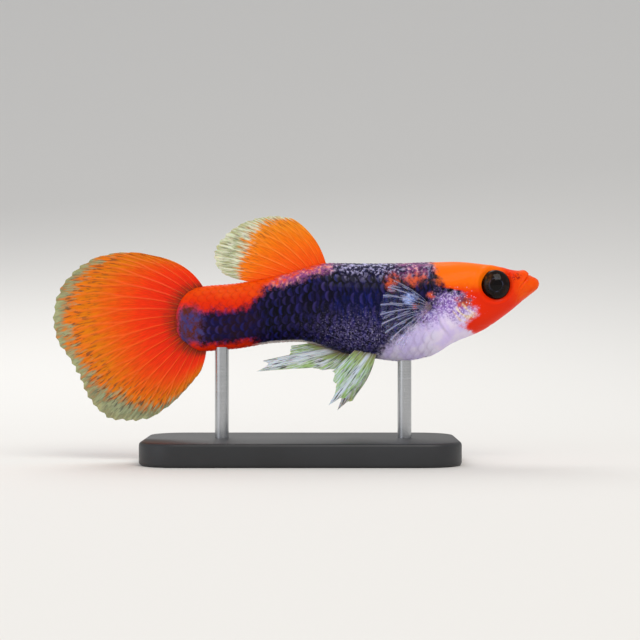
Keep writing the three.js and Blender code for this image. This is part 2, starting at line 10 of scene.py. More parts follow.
import bpy
import numpy as np
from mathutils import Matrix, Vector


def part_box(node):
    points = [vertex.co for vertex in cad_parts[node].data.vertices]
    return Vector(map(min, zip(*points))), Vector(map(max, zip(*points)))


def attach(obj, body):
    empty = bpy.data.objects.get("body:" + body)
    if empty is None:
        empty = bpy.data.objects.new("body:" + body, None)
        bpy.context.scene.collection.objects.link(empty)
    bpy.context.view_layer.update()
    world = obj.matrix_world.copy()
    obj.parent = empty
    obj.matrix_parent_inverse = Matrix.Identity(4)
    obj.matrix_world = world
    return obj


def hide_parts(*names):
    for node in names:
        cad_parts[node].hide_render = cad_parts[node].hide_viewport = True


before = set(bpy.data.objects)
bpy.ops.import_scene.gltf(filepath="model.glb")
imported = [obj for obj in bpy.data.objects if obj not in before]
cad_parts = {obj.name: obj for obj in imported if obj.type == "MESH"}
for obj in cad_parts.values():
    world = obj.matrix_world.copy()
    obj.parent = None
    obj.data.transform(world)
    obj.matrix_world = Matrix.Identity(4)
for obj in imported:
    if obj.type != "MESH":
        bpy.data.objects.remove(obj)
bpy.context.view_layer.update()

MM = 0.001
# the fish is worked out in millimetres: X towards its snout, Y to its left, Z up from its own datum
FISH_HEIGHT = 13.0  # height above the floor of that datum, a level line under the eye

# %% [markdown]
# ## From arrays to meshes
# Every piece here is a surface worked out with numpy: a grid of points in the fish's millimetres and
# the faces between them. Sculpting would be quicker for one fish, but numbers can be read, checked
# and changed. One helper puts such arrays into a Blender mesh. Values that a material reads later,
# such as how far along a fin ray a point lies, go in as attributes of the points, so a pattern stays
# on the surface whatever the view.

# %% Mesh helpers
def grid_faces(rows, columns, closed=False):
    """Quads between neighbouring points of a grid stored row by row.
    With closed=True the last column also joins the first one, as round a body."""
    here = np.arange(rows * columns).reshape(rows, columns)
    right = np.roll(here, -1, axis=1) if closed else here[:, 1:]
    left = here if closed else here[:, :-1]
    quads = np.stack([left[:-1], right[:-1], right[1:], left[1:]], axis=-1)
    return quads.reshape(-1, 4)


def capped_rings(rows, sides):
    """Faces of rings stored one after the other whose two poles are the last two points, the
    first ring's pole before the last ring's: quads between rings and a fan of triangles at a pole."""
    first = np.arange(sides)
    last = first + (rows - 1) * sides
    pole = rows * sides
    return [
        grid_faces(rows, sides, closed=True),
        np.stack([first * 0 + pole, np.roll(first, -1), first], axis=-1),
        np.stack([first * 0 + pole + 1, last, np.roll(last, -1)], axis=-1),
    ]


# %% Arrays into Blender
def put_mesh(name, points, faces, material, attributes=None, sharp=50.0, uv=None):
    """Make an object at the origin from points in the fish's millimetres and index faces.
    Each attribute is an array with one row per point: of 1 value, 3 values or 4 values.
    Edges that bend by more than sharp degrees keep a crease in the shading."""
    mesh = bpy.data.meshes.new(name)
    metres = (np.asarray(points, float) + [0.0, 0.0, FISH_HEIGHT]) * MM
    mesh.from_pydata(metres.tolist(), [], [list(face) for face in faces])
    kinds = {1: ("FLOAT", "value"), 3: ("FLOAT_VECTOR", "vector"), 4: ("FLOAT_COLOR", "color")}
    for key, values in (attributes or {}).items():
        values = np.asarray(values, np.float32).reshape(len(metres), -1)
        kind, field = kinds[values.shape[1]]
        mesh.attributes.new(key, kind, "POINT").data.foreach_set(field, values.ravel())
    if uv is not None:
        corners = np.empty(len(mesh.loops), np.int32)
        mesh.loops.foreach_get("vertex_index", corners)
        layer = mesh.uv_layers.new(name="OFBake")
        layer.data.foreach_set("uv", np.asarray(uv, np.float32)[corners].ravel())
    mesh.shade_smooth()
    mesh.set_sharp_from_angle(angle=math.radians(sharp))
    mesh.materials.append(material)
    piece = bpy.data.objects.new(name, mesh)
    bpy.context.scene.collection.objects.link(piece)
    print(name, len(metres), "points,", len(mesh.polygons), "faces")
    return piece


def settle(piece, slot, *nodes):
    """Let a piece ride on the body and stand for the CAD nodes that it replaces."""
    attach(piece, "root")
    if nodes:
        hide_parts(*nodes)


# %% Soft steps and bells
def smooth(t):
    """Ease from 0 to 1: t squared times 3 minus 2 t, held at both ends."""
    t = np.clip(t, 0.0, 1.0)
    return t * t * (3.0 - 2.0 * t)


def hill(distance, width):
    """A bell of height 1: e to the minus of distance over width, squared."""
    return np.exp(-((distance / width) ** 2))


# %% [markdown]
# ## Colours and nodes
# A hex colour is what a screen shows, while a shader works with linear light, so one function turns
# the first into the second. Materials are small node trees, and one function adds a node with its
# settings and links.

# %% Material helpers
def linear(code):
    """An sRGB hex colour as linear red, green, blue and alpha 1."""
    parts = [int(code[i : i + 2], 16) / 255.0 for i in (1, 3, 5)]
    return [p / 12.92 if p <= 0.04045 else ((p + 0.055) / 1.055) ** 2.4 for p in parts] + [1.0]


def add(tree, kind, inputs=None, **settings):
    """Add a node. Settings are its properties. An input gets a number, a vector, a hex colour or
    a link, from a socket or from the first live output of another node."""
    node = tree.nodes.new("ShaderNode" + kind)
    for key, value in settings.items():
        setattr(node, key, value)
    for key, value in (inputs or {}).items():
        live = [socket for socket in node.inputs if socket.name == key and socket.enabled]
        socket = live[0] if live else node.inputs[key]
        if isinstance(value, bpy.types.Node):
            value = next(output for output in value.outputs if output.enabled)
        if isinstance(value, bpy.types.NodeSocket):
            tree.links.new(value, socket)
        else:
            socket.default_value = linear(value) if isinstance(value, str) else value
    return node


SOFT = {"interpolation_type": "SMOOTHSTEP"}  # a Map Range that eases in and out
SOFT_VECTOR = {"data_type": "FLOAT_VECTOR", **SOFT}
COLOUR = {"data_type": "RGBA"}  # a Mix of two colours


# %% Starting and finishing a material
def new_material(name):
    """A material with an empty node tree, and that tree."""
    material = bpy.data.materials.new(name)
    material.use_nodes = True
    tree = material.node_tree
    tree.nodes.clear()
    return material, tree


def finish_material(material, surface):
    """Link a shader to the material's output, and hand the material on."""
    add(material.node_tree, "OutputMaterial", {"Surface": surface})
    print(material.name, "has", len(material.node_tree.nodes), "nodes")
    return material


def scale_of(size_mm):
    """Scale value at which a noise or cell pattern on Object coordinates has features that size."""
    return 1.0 / (size_mm * MM)


def set_stops(node, stops):
    """Give a Color Ramp its colours: rows of a place from 0 to 1 and a hex colour."""
    elements = node.color_ramp.elements
    for number, (at, shade) in enumerate(stops):
        element = elements[number] if number < 2 else elements.new(at)
        element.position, element.color = at, linear(shade)


# %% [markdown]
# ## The body's form
# A guppy's body is a spindle that is taller than it is wide, flat on top of the head, deepest at
# the belly and pressed flat towards the tail. It could be sculpted, but a few measured stations say
# it all: at each one the outline's top and bottom, the half breadth, the share of the height at
# which it is widest, and how square the section is above and below that level. A cubic that never
# overshoots joins the stations, so no bulge appears between them. The stations repeat the CAD's.

# %% Body stations
STATIONS = np.array([
    # x, top, low, half breadth
    (21.00, 2.25, 2.25, 0.00),
    (20.85, 2.60, 1.86, 0.50),
    (20.55, 2.80, 1.57, 0.80),
    (20.15, 2.96, 1.27, 1.02),
    (19.82, 3.36, 1.00, 1.18),
    (19.58, 3.43, 0.82, 1.30),
    (19.17, 3.38, 0.46, 1.48),
    (18.22, 3.51, -0.31, 1.80),
    (16.16, 3.91, -1.72, 2.22),
    (13.67, 4.13, -2.80, 2.55),
    (11.60, 4.08, -3.96, 2.68),
    (9.02, 3.99, -4.39, 2.70),
    (6.44, 3.96, -4.09, 2.55),
    (4.29, 3.99, -3.70, 2.35),
    (2.74, 4.00, -3.22, 2.20),
    (0.25, 3.39, -2.72, 1.85),
    (-1.81, 2.86, -2.82, 1.55),
    (-5.17, 2.24, -3.33, 1.20),
    (-8.09, 1.98, -3.53, 0.90),
    (-9.00, 1.66, -3.12, 0.74),
    (-9.70, 1.02, -2.60, 0.56),
    (-10.16, 0.00, -1.85, 0.36),
    (-10.32, -1.03, -1.03, 0.00),
])[::-1]
SECTIONS = np.array([
    # x, level of the widest place, squareness above, squareness below
    (21.00, 0.50, 2.2, 2.1),
    (17.00, 0.60, 2.9, 2.0),
    (12.00, 0.58, 2.4, 2.1),
    (4.00, 0.55, 2.1, 2.0),
    (-10.32, 0.50, 2.0, 2.0),
])[::-1]
SNOUT_X = STATIONS[-1, 0]
STALK_END_X = STATIONS[0, 0]
print("body", round(SNOUT_X - STALK_END_X, 2), "mm long")


# %% Outline and section
def along_table(table, column, x):
    """Value of a column at x: a cubic between rows whose slope at a row is the harmonic mean of
    the slopes beside it, or flat where they differ in sign."""
    at, value = table[:, 0], table[:, column]
    slope = np.diff(value) / np.diff(at)
    inner = np.zeros(len(at) - 2)
    same = slope[:-1] * slope[1:] > 0
    inner[same] = 2 * slope[:-1][same] * slope[1:][same] / (slope[:-1][same] + slope[1:][same])
    tangent = np.concatenate([slope[:1], inner, slope[-1:]])
    k = np.clip(np.searchsorted(at, x, side="right") - 1, 0, len(at) - 2)
    h = at[k + 1] - at[k]
    t = np.clip((x - at[k]) / h, 0.0, 1.0)
    return (
        value[k] * (1 + 2 * t) * (1 - t) ** 2
        + tangent[k] * h * t * (1 - t) ** 2
        + value[k + 1] * t * t * (3 - 2 * t)
        + tangent[k + 1] * h * t * t * (t - 1)
    )


def outline(x):
    """Top and bottom of the body at x."""
    return along_table(STATIONS, 1, x), along_table(STATIONS, 2, x)


def body_surface(x, angle):
    """Point at x and an angle round the body, 0 on the left side and 90 degrees on the back.
    Sideways it is half breadth times cos to the power 2/n, upwards the rise or drop from the
    widest level times sin to the power 2/n, where n is the squareness."""
    top, low = outline(x)
    level = low + (top - low) * along_table(SECTIONS, 1, x)
    c, s = np.cos(angle), np.sin(angle)
    square = np.where(s > 0, along_table(SECTIONS, 2, x), along_table(SECTIONS, 3, x))
    reach = np.where(s > 0, top - level, level - low)
    y = along_table(STATIONS, 3, x) * np.sign(c) * np.abs(c) ** (2 / square)
    z = level + reach * np.sign(s) * np.abs(s) ** (2 / square)
    return np.stack([x + 0 * y, y, z], axis=-1)


def side_at(x, z):
    """Half breadth of the body at x and height z, from the same section."""
    top, low = outline(x)
    level = low + (top - low) * along_table(SECTIONS, 1, x)
    above = z > level
    share = np.where(above, (z - level) / (top - level), (level - z) / (level - low))
    square = np.where(above, along_table(SECTIONS, 2, x), along_table(SECTIONS, 3, x))
    return along_table(STATIONS, 3, x) * np.clip(1 - np.clip(share, 0, 1) ** square, 0, 1) ** (1 / square)


print("widest", round(2 * side_at(9.0, 0.0), 2), "mm across")

# %% [markdown]
# ## What breaks the form on the head
# The head is where a fish is judged. Its lower jaw reaches past the upper one, and the mouth is a
# slit that opens upwards between two rounded lips. A raised rim holds each eye, two nostrils sit
# before it, and the gill cover ends behind in a thin edge with a groove under it. Separate pieces
# for lips and rims would leave seams. Here all of it is a small push of the skin along its own
# normal, a sum of bells and steps of the distance to a point or a line, so it needs no sculpting
# and stays where the measured places put it.

# %% Relief of the head
EYE_X, EYE_Z = 17.05, 2.12
EYE_RADIUS, EYE_DEPTH, EYE_PROUD = 1.27, 0.78, 0.34
SEAT_RADIUS = 1.2  # where the skin meets the eyeball
NOSTRILS = ((18.85, 2.90, 0.13), (18.25, 3.02, 0.09))
MOUTH_LINE = np.array([(20.60, 3.60), (20.10, 3.05), (19.55, 2.35), (19.20, 1.90)])
JAW_FOLD = np.array([(19.20, 1.90), (19.00, 1.20), (18.95, 0.55)])
GILL_LINE = np.array([
    (12.80, 5.60), (12.20, 2.60), (11.86, 0.60), (12.38, -1.30), (13.50, -2.70), (15.20, -4.20),
])
CHEEK_LINE = np.array([(14.90, 2.60), (14.30, 1.00), (14.50, -0.60), (15.60, -1.50), (16.90, -1.30)])


def to_line(line, x, z):
    """Distance from points (x, z) to a broken line, and on which side they lie: the sign is +
    to the right of the line's own direction."""
    best = np.full(np.shape(x), np.inf)
    sign = np.ones(np.shape(x))
    for (ax, az), (bx, bz) in zip(line[:-1], line[1:]):
        dx, dz = bx - ax, bz - az
        t = np.clip(((x - ax) * dx + (z - az) * dz) / (dx * dx + dz * dz), 0, 1)
        px, pz = x - (ax + t * dx), z - (az + t * dz)
        far = np.hypot(px, pz)
        turn = np.sign(px * dz - pz * dx)
        closer = far < best
        best = np.where(closer, far, best)
        sign = np.where(closer, turn, sign)
    return best, sign


# %% Heights and widths of the relief, in mm
NEAR_SIDE = 0.8  # breadth over which the eye's and nostrils' relief sets in beside the midline
BOWL_DEPTH, BOWL_WIDTH = 0.2, 0.35
SEAT_DEPTH, SEAT_WIDTH = 0.55, 0.14
EYE_RIM_HEIGHT, EYE_RIM_OUT, EYE_RIM_WIDTH = 0.07, 0.42, 0.17
NOSTRIL_DEPTH, NOSTRIL_RIM = 0.17, 0.05
LIP_HEIGHT, LIP_OUT, LIP_WIDTH = 0.04, 0.15, 0.1
SLIT_DEPTH, SLIT_WIDTH = 0.1, 0.045
FOLD_DEPTH, FOLD_WIDTH = 0.035, 0.08
COVER_HEIGHT, COVER_REACH, COVER_TOP, COVER_FOOT = 0.09, 1.6, 3.4, -2.8
GROOVE_DEPTH, GROOVE_WIDTH = 0.07, 0.16
CHEEK_DEPTH, CHEEK_WIDTH = 0.03, 0.1


def eye_and_nostrils(points):
    """The part of the relief that lies on the head's sides: a bowl with a steep seat in it for the
    eyeball and a rim round it, and before it two pits, each with a rim."""
    x, z = points[..., 0], points[..., 2]
    from_eye = np.hypot(x - EYE_X, z - EYE_Z)
    bowl = BOWL_DEPTH * smooth((SEAT_RADIUS + BOWL_WIDTH - from_eye) / BOWL_WIDTH)
    seat = SEAT_DEPTH * smooth((SEAT_RADIUS - from_eye) / SEAT_WIDTH)
    push = EYE_RIM_HEIGHT * hill(from_eye - SEAT_RADIUS - EYE_RIM_OUT, EYE_RIM_WIDTH) - bowl - seat
    for nostril_x, nostril_z, radius in NOSTRILS:
        far = np.hypot(x - nostril_x, z - nostril_z)
        push += NOSTRIL_RIM * hill(far - radius * 1.5, radius * 0.7) - NOSTRIL_DEPTH * hill(far, radius)
    return push * smooth(np.abs(points[..., 1]) / NEAR_SIDE)


def relief(points):
    """How far the skin stands out from the plain form, in mm, at points of it: the eye's and
    nostrils' relief, lips beside a slit, a fold behind the mouth, the gill cover that rises to its
    edge with a groove behind, and a shallow line round the cheek."""
    x, z = points[..., 0], points[..., 2]
    slit, fold, gill, cheek = (
        to_line(line, x, z) for line in (MOUTH_LINE, JAW_FOLD, GILL_LINE, CHEEK_LINE)
    )
    push = eye_and_nostrils(points)
    push += LIP_HEIGHT * hill(slit[0] - LIP_OUT, LIP_WIDTH) - SLIT_DEPTH * hill(slit[0], SLIT_WIDTH)
    push -= FOLD_DEPTH * hill(fold[0], FOLD_WIDTH) + CHEEK_DEPTH * hill(cheek[0], CHEEK_WIDTH)
    on_cover = smooth((COVER_TOP - z) / 1.2) * smooth((z - COVER_FOOT) / 1.6)
    rise = COVER_HEIGHT * np.exp(-gill[0] / COVER_REACH)
    groove = -GROOVE_DEPTH * hill(gill[0], GROOVE_WIDTH)
    return push + on_cover * np.where(gill[1] < 0, rise, groove)


print("eye", 2 * EYE_RADIUS, "mm across, mouth slit", 2 * SLIT_WIDTH, "mm wide")


# %% [markdown]
# ## Where the markings lie
# The fish wears coats that run into each other: orange on head and tail stalk, violet-black on the
# flank, indigo on the stalk, pearl on the belly and silver along the back. Small gleams sit on them:
# lilac sparkle on the gill cover with gold strokes in it, red patches on the shoulder and pale
# flecks low on the flank. A painted image could hold all this, but its grain would show close up.
# So each marking is a soft mask from 0 to 1, a function of the place on the body, written to the
# points of skin and scales alike, so both wear the same markings. The material adds the ragged
# edges and the specks.

# %% Edges of the coats
HEAD_EDGE = np.array([  # z, x where the head's orange ends
    (-3.5, 15.9), (-1.87, 15.0), (-1.3, 14.3), (-0.9, 14.8), (-0.3, 15.45),
    (0.5, 15.15), (1.57, 14.1), (1.9, 12.6), (2.75, 12.1), (4.3, 11.75),
])
BELLY_EDGE = np.array([  # x, z of the pearl's upper edge
    (6.6, -4.2), (7.7, -3.1), (9.0, -2.2), (11.2, -0.8), (13.0, 0.5), (15.6, 0.9),
])
STALK_EDGE = np.array([  # x, z of the lower edge of the stalk's orange
    (-10.4, 0.2), (-9.2, 0.3), (-7.6, 0.05), (-5.5, 0.15), (-4.2, 0.25), (-3.4, 0.9), (-2.4, 1.9),
    (-0.9, 2.7), (0.2, 3.15), (2.6, 3.95), (3.6, 4.6),
])


# %% Coats
def step_over(distance, width):
    """Soft step: 0 at minus width, one half at 0 and 1 at plus width."""
    return smooth(0.5 + 0.5 * distance / width)


def between(x, rear, front):
    """Soft window along X, the product of two steps. Each end is a place and a width."""
    return step_over(x - rear[0], rear[1]) * step_over(front[0] - x, front[1])


def coats_at(x, z, top, low):
    """Masks of the orange, indigo, pearl and silver coats, each a product of soft steps over its
    edges. Orange also runs along the stalk's keel and round its end."""
    head = step_over(x - along_table(HEAD_EDGE, 1, z), 0.9)
    stalk = step_over(z - np.interp(x, *STALK_EDGE.T), 1.1) * step_over(3.2 - x, 0.9)
    keel = 0.85 * step_over(0.6 - (z - low), 0.6) * between(x, (-9.0, 0.8), (-3.2, 1.0))
    ring = 0.65 * step_over(-9.95 - x, 0.5)
    orange = np.max([head, stalk, keel, ring], axis=0)
    indigo = step_over(-3.0 - x, 1.8)
    pearl = step_over(np.interp(x, *BELLY_EDGE.T) - z, 1.2) * step_over(x - 6.9, 1.2)
    share = (z - low) / np.maximum(top - low, 0.2)
    silver = step_over(share - 0.84, 0.18) * step_over(x - 2.2, 1.8)
    return np.stack([orange, indigo, pearl, silver], axis=-1)


# %% Patches and strokes
LILAC = (  # strength, centre, radii
    (0.95, (13.5, 0.4), (2.0, 1.4)), (0.7, (11.3, -0.7), (1.1, 0.9)),
)
RED = (
    (1.0, (8.25, 2.3), (0.7, 0.9)), (1.0, (10.3, 2.6), (1.1, 0.8)), (1.0, (11.5, 1.2), (0.4, 0.4)),
    (1.0, (10.2, 0.35), (0.35, 0.3)), (1.35, (14.4, 0.75), (1.0, 0.6)),
)
# a pale blue patch behind the pectoral fin's root, and a smaller painted cyan glint further forward and
# lower
AZURE_AND_GLINT = ((1.0, (9.7, 0.9), (0.6, 0.65)), (1.0, (11.6, -0.45), (0.3, 0.35)))
ROSE = ((0.6, (10.2, 3.6), (2.0, 1.1)),)
ROYAL = ((1.0, (6.0, 0.5), (3.0, 1.5)),)
FLECKS = ((1.0, (5.4, -2.2), (3.2, 1.6)),)
FRECKLES = ((0.85, (18.95, 2.85), (0.65, 0.5)),)
GOLD = ((1.0, (15.0, -0.55), (0.8, 0.35)),)
GOLD_STROKES = (
    np.array([(13.5, 0.35), (14.1, -0.35), (15.0, -0.75)]),
    np.array([(13.4, -0.15), (14.0, -0.85), (14.9, -1.2)]),
    np.array([(14.2, 0.5), (14.7, -0.05), (15.4, -0.35)]),
)
STROKE_WIDTH = 0.1


# %% Gleams, lights and marks
def patches_at(x, z, rows):
    """The highest of several bells. Each row is a bell's height, its centre and its radii along
    X and Z."""
    bells = [
        height * hill(np.hypot((x - at[0]) / radii[0], (z - at[1]) / radii[1]), 1.0)
        for height, at, radii in rows
    ]
    return np.max(bells, axis=0)


def gleams_at(x, z):
    """Masks of the lilac sparkle, gold strokes, red patches and pale flecks."""
    strokes = np.max([hill(to_line(line, x, z)[0], STROKE_WIDTH) for line in GOLD_STROKES], axis=0)
    gold = 0.6 * np.maximum(strokes, patches_at(x, z, GOLD))
    red = 0.65 * patches_at(x, z, RED)
    return np.stack([patches_at(x, z, LILAC), gold, red, patches_at(x, z, FLECKS)], axis=-1)


def lights_at(x, z, top):
    """Masks of the pale blue patch behind the pectoral fin with a small painted cyan glint, the rose band
    on the back, the royal blue of the flank, and how warm the orange is: most on the crown, less on the
    snout and the stalk."""
    band = hill(top - z - 0.2, 0.8) * between(x, (-2.9, 0.9), (3.2, 1.8))
    rose = np.maximum(band, patches_at(x, z, ROSE))
    crown = step_over(z - 1.9, 0.9) * step_over(17.6 - x, 1.4)
    snout = 0.45 * step_over(x - 18.6, 0.8) * step_over(z - 0.6, 0.8)
    warm = np.where(x > 8, np.maximum(crown, snout), 0.4 * step_over(z - 0.9, 0.9))
    return np.stack([patches_at(x, z, AZURE_AND_GLINT), rose, patches_at(x, z, ROYAL), warm], axis=-1)


def marks_at(x, z, low):
    """Masks of the freckles before the eye, the keel's painted rim light and the mottled end of the
    stalk.
    """
    # painted rim light: a pale line along the underside of the stalk, lighter than the shade there
    keel_rim_light = step_over(0.14 - (z - low), 0.1) * between(x, (-6.5, 1.0), (2.0, 1.5))
    mottle = step_over(-8.0 - x, 1.0)
    return np.stack([patches_at(x, z, FRECKLES), keel_rim_light, mottle], axis=-1)


# %% All markings together
def markings(points):
    """All masks at points of the body, as attributes."""
    x, z = points[..., 0], points[..., 2]
    top, low = outline(x)
    return {
        "coats": coats_at(x, z, top, low),
        "gleams": gleams_at(x, z),
        "lights": lights_at(x, z, top),
        "marks": marks_at(x, z, low),
    }


masks_of_one_point = markings(np.zeros((1, 3)))
print(sum(mask.shape[-1] for mask in masks_of_one_point.values()), "masks at each point")


# %% [markdown]
# ## Living skin and scales
# A guppy's colour is pigment under clear scales, with plates of guanine that shine blue, violet
# and silver, all under a film of slime. So the material is a soft dielectric with a little light
# passing under it, a thin clear coat for the slime, and metal only where guanine shows. One flat
# colour for each coat would look like paint. Here each layer has two shades, the layers are laid
# one over the other, and noise moves the place where each one starts, so their edges break up into
# specks. A scale also carries a faint blue-violet crescent before its free edge, which reads the
# scale's own attribute.

# %% Patterns of the pigment
SLIME_COAT = {"Coat Weight": 0.12, "Coat Roughness": 0.12, "Coat IOR": 1.33}
FLESH_SCATTER = (0.5 * MM, 0.2 * MM, 0.12 * MM)
WANDER_SIZE, CLOUD_SIZE, GRAIN_SIZE, STREAK_SIZE, PLATE_SIZE = 0.7, 1.5, 0.17, 0.25, 0.2  # mm
EDGE_SHIFT = 2.6  # how strongly the noise moves the edges of masks


def pigment_patterns(tree):
    """Patterns on the fish's own coordinates: patches of 0.7 mm that break up into specks of under
    0.1 mm, broad clouds, a fine grain, and upright streaks a quarter of a millimetre wide."""
    place = add(tree, "TexCoord").outputs["Object"]
    wander = {"Vector": place, "Scale": scale_of(WANDER_SIZE), "Detail": 5.0, "Roughness": 0.75}
    wander = add(tree, "TexNoise", wander)
    shift = {
        "Value": wander, "From Min": 0.2, "From Max": 0.8, "To Min": -EDGE_SHIFT, "To Max": EDGE_SHIFT,
    }
    broad = add(tree, "TexNoise", {"Vector": place, "Scale": scale_of(CLOUD_SIZE), "Detail": 3.0})
    grain = add(tree, "TexNoise", {"Vector": place, "Scale": scale_of(GRAIN_SIZE), "Detail": 3.0})
    tall = add(tree, "Mapping", {"Vector": place, "Scale": (1.0, 1.0, 0.2)})
    tall = add(tree, "TexNoise", {"Vector": tall, "Scale": scale_of(STREAK_SIZE), "Detail": 3.0})
    soft = {}
    for name, source, low, high in (
        ("patchy", wander, 0.4, 0.62), ("broad", broad, 0.38, 0.62), ("fine", grain, 0.4, 0.66),
        ("upright", tall, 0.44, 0.68), ("speck", grain, 0.46, 0.6),
    ):
        soft[name] = add(tree, "MapRange", {"Value": source, "From Min": low, "From Max": high}, **SOFT)
    return {
        "place": place, "wander": wander, "grain": grain, "shift": add(tree, "MapRange", shift), **soft,
    }


# %% Masks with broken edges
def broken_masks(tree, shift):
    """The stored masks, each group as three masks and its fourth value. Noise moves a mask most
    where it is one half, and not at all where it is 0 or 1."""
    masks, fourth = {}, {}
    for group in ("coats", "gleams", "lights", "marks"):
        mask = add(tree, "Attribute", attribute_name=group)
        other = {0: (1.0,) * 3, 1: mask.outputs["Vector"]}
        other = add(tree, "VectorMath", other, operation="SUBTRACT")
        open_to = {0: mask.outputs["Vector"], 1: other}
        open_to = add(tree, "VectorMath", open_to, operation="MULTIPLY")
        moved = {0: open_to, 1: shift, 2: mask.outputs["Vector"]}
        moved = add(tree, "VectorMath", moved, operation="MULTIPLY_ADD")
        edged = {"Vector": moved, "From Min": (0.12,) * 3, "From Max": (0.88,) * 3}
        edged = add(tree, "MapRange", edged, **SOFT_VECTOR)
        masks[group] = add(tree, "SeparateXYZ", {"Vector": edged}).outputs
        fourth[group] = mask.outputs["Alpha"]
    return masks, fourth


def lay_over(tree, colour, layers):
    """Lay two-shade layers over a colour. Each row is a mask, a pattern and the shades it mixes."""
    for mask, pattern, low, high in layers:
        shade = add(tree, "Mix", {"Factor": pattern, "A": low, "B": high}, **COLOUR)
        colour = add(tree, "Mix", {"Factor": mask, "A": colour, "B": shade}, **COLOUR)
    return colour


# %% Orange, and a scale's own pattern
def ember_orange(tree, pattern, warmth, edge, freckled):
    """Orange that is yellower where it is warm, redder on the cheek, darker at the scales' free
    edges, with dark specks before the eye."""
    warm = add(tree, "Math", {0: pattern["shift"], 1: 0.06, 2: warmth}, operation="MULTIPLY_ADD")
    warm = add(tree, "MapRange", {"Value": warm, "From Min": 0.05, "From Max": 0.95}, **SOFT)
    speck = add(tree, "Math", {0: pattern["speck"], 1: freckled}, operation="MULTIPLY")
    ember = add(tree, "Mix", {"Factor": warm, "A": "#EE2C00", "B": "#FF7000"}, **COLOUR)
    ember = add(tree, "Mix", {"Factor": edge, "A": ember, "B": "#B81E00"}, **COLOUR)
    return add(tree, "Mix", {"Factor": speck, "A": ember, "B": "#A81C0A"}, **COLOUR)


def scale_crescents(tree, colour, broad, grain):
    """A scale's own pattern: the pigment with a blue-violet crescent before the free edge, how far
    the edge darkens the colour, and growth rings about 0.1 mm apart as height."""
    plate = add(tree, "Attribute", attribute_name="plate").outputs["Vector"]
    across, along, lot = add(tree, "SeparateXYZ", {"Vector": plate}).outputs
    rise = add(tree, "MapRange", {"Value": along, "From Min": 0.6, "From Max": 0.8}, **SOFT)
    fall = add(tree, "MapRange", {"Value": along, "From Min": 0.97, "From Max": 0.86}, **SOFT)
    side = add(tree, "MapRange", {"Value": across, "From Min": 1.1, "From Max": 0.7}, **SOFT)
    luck = add(tree, "MapRange", {"Value": lot, "To Min": 0.05, "To Max": 0.4})
    crescent = rise
    for share in (fall, side, luck):
        crescent = add(tree, "Math", {0: crescent, 1: share}, operation="MULTIPLY")
    shade = add(tree, "Mix", {"Factor": broad, "A": "#262E90", "B": "#544590"}, **COLOUR)
    colour = add(tree, "Mix", {"Factor": crescent, "A": colour, "B": shade}, **COLOUR)
    edge = {"Value": along, "From Min": 0.8, "From Max": 1.0, "To Max": 0.3}
    edge = add(tree, "MapRange", edge, **SOFT)
    rings = add(tree, "Math", {0: along, 1: 60.0}, operation="MULTIPLY")
    rings = add(tree, "Math", {0: rings}, operation="SINE")
    height = add(tree, "Math", {0: rings, 1: 0.12, 2: grain}, operation="MULTIPLY_ADD")
    return colour, edge, height


# %% Guanine sparks
def guanine_sparks(tree, place, flecks, lilac):
    """Where a cluster of guanine plates flashes: a dot in some cells of a fifth of a millimetre,
    most of them on the gill cover and fewer low on the flank."""
    cells = add(tree, "TexVoronoi", {"Vector": place, "Scale": scale_of(PLATE_SIZE)}, feature="F1")
    dot = {"Value": cells.outputs["Distance"], "From Min": 0.36, "From Max": 0.2}
    dot = add(tree, "MapRange", dot, **SOFT)
    lot = add(tree, "SeparateColor", {"Color": cells.outputs["Color"]}).outputs[0]
    drawn = add(tree, "MapRange", {"Value": lot, "From Min": 0.5, "From Max": 0.75}, **SOFT)
    shining = add(tree, "Math", {0: flecks, 1: 0.45, 2: lilac}, operation="MULTIPLY_ADD")
    spark = add(tree, "Math", {0: dot, 1: drawn}, operation="MULTIPLY")
    return add(tree, "Math", {0: spark, 1: shining}, operation="MULTIPLY")


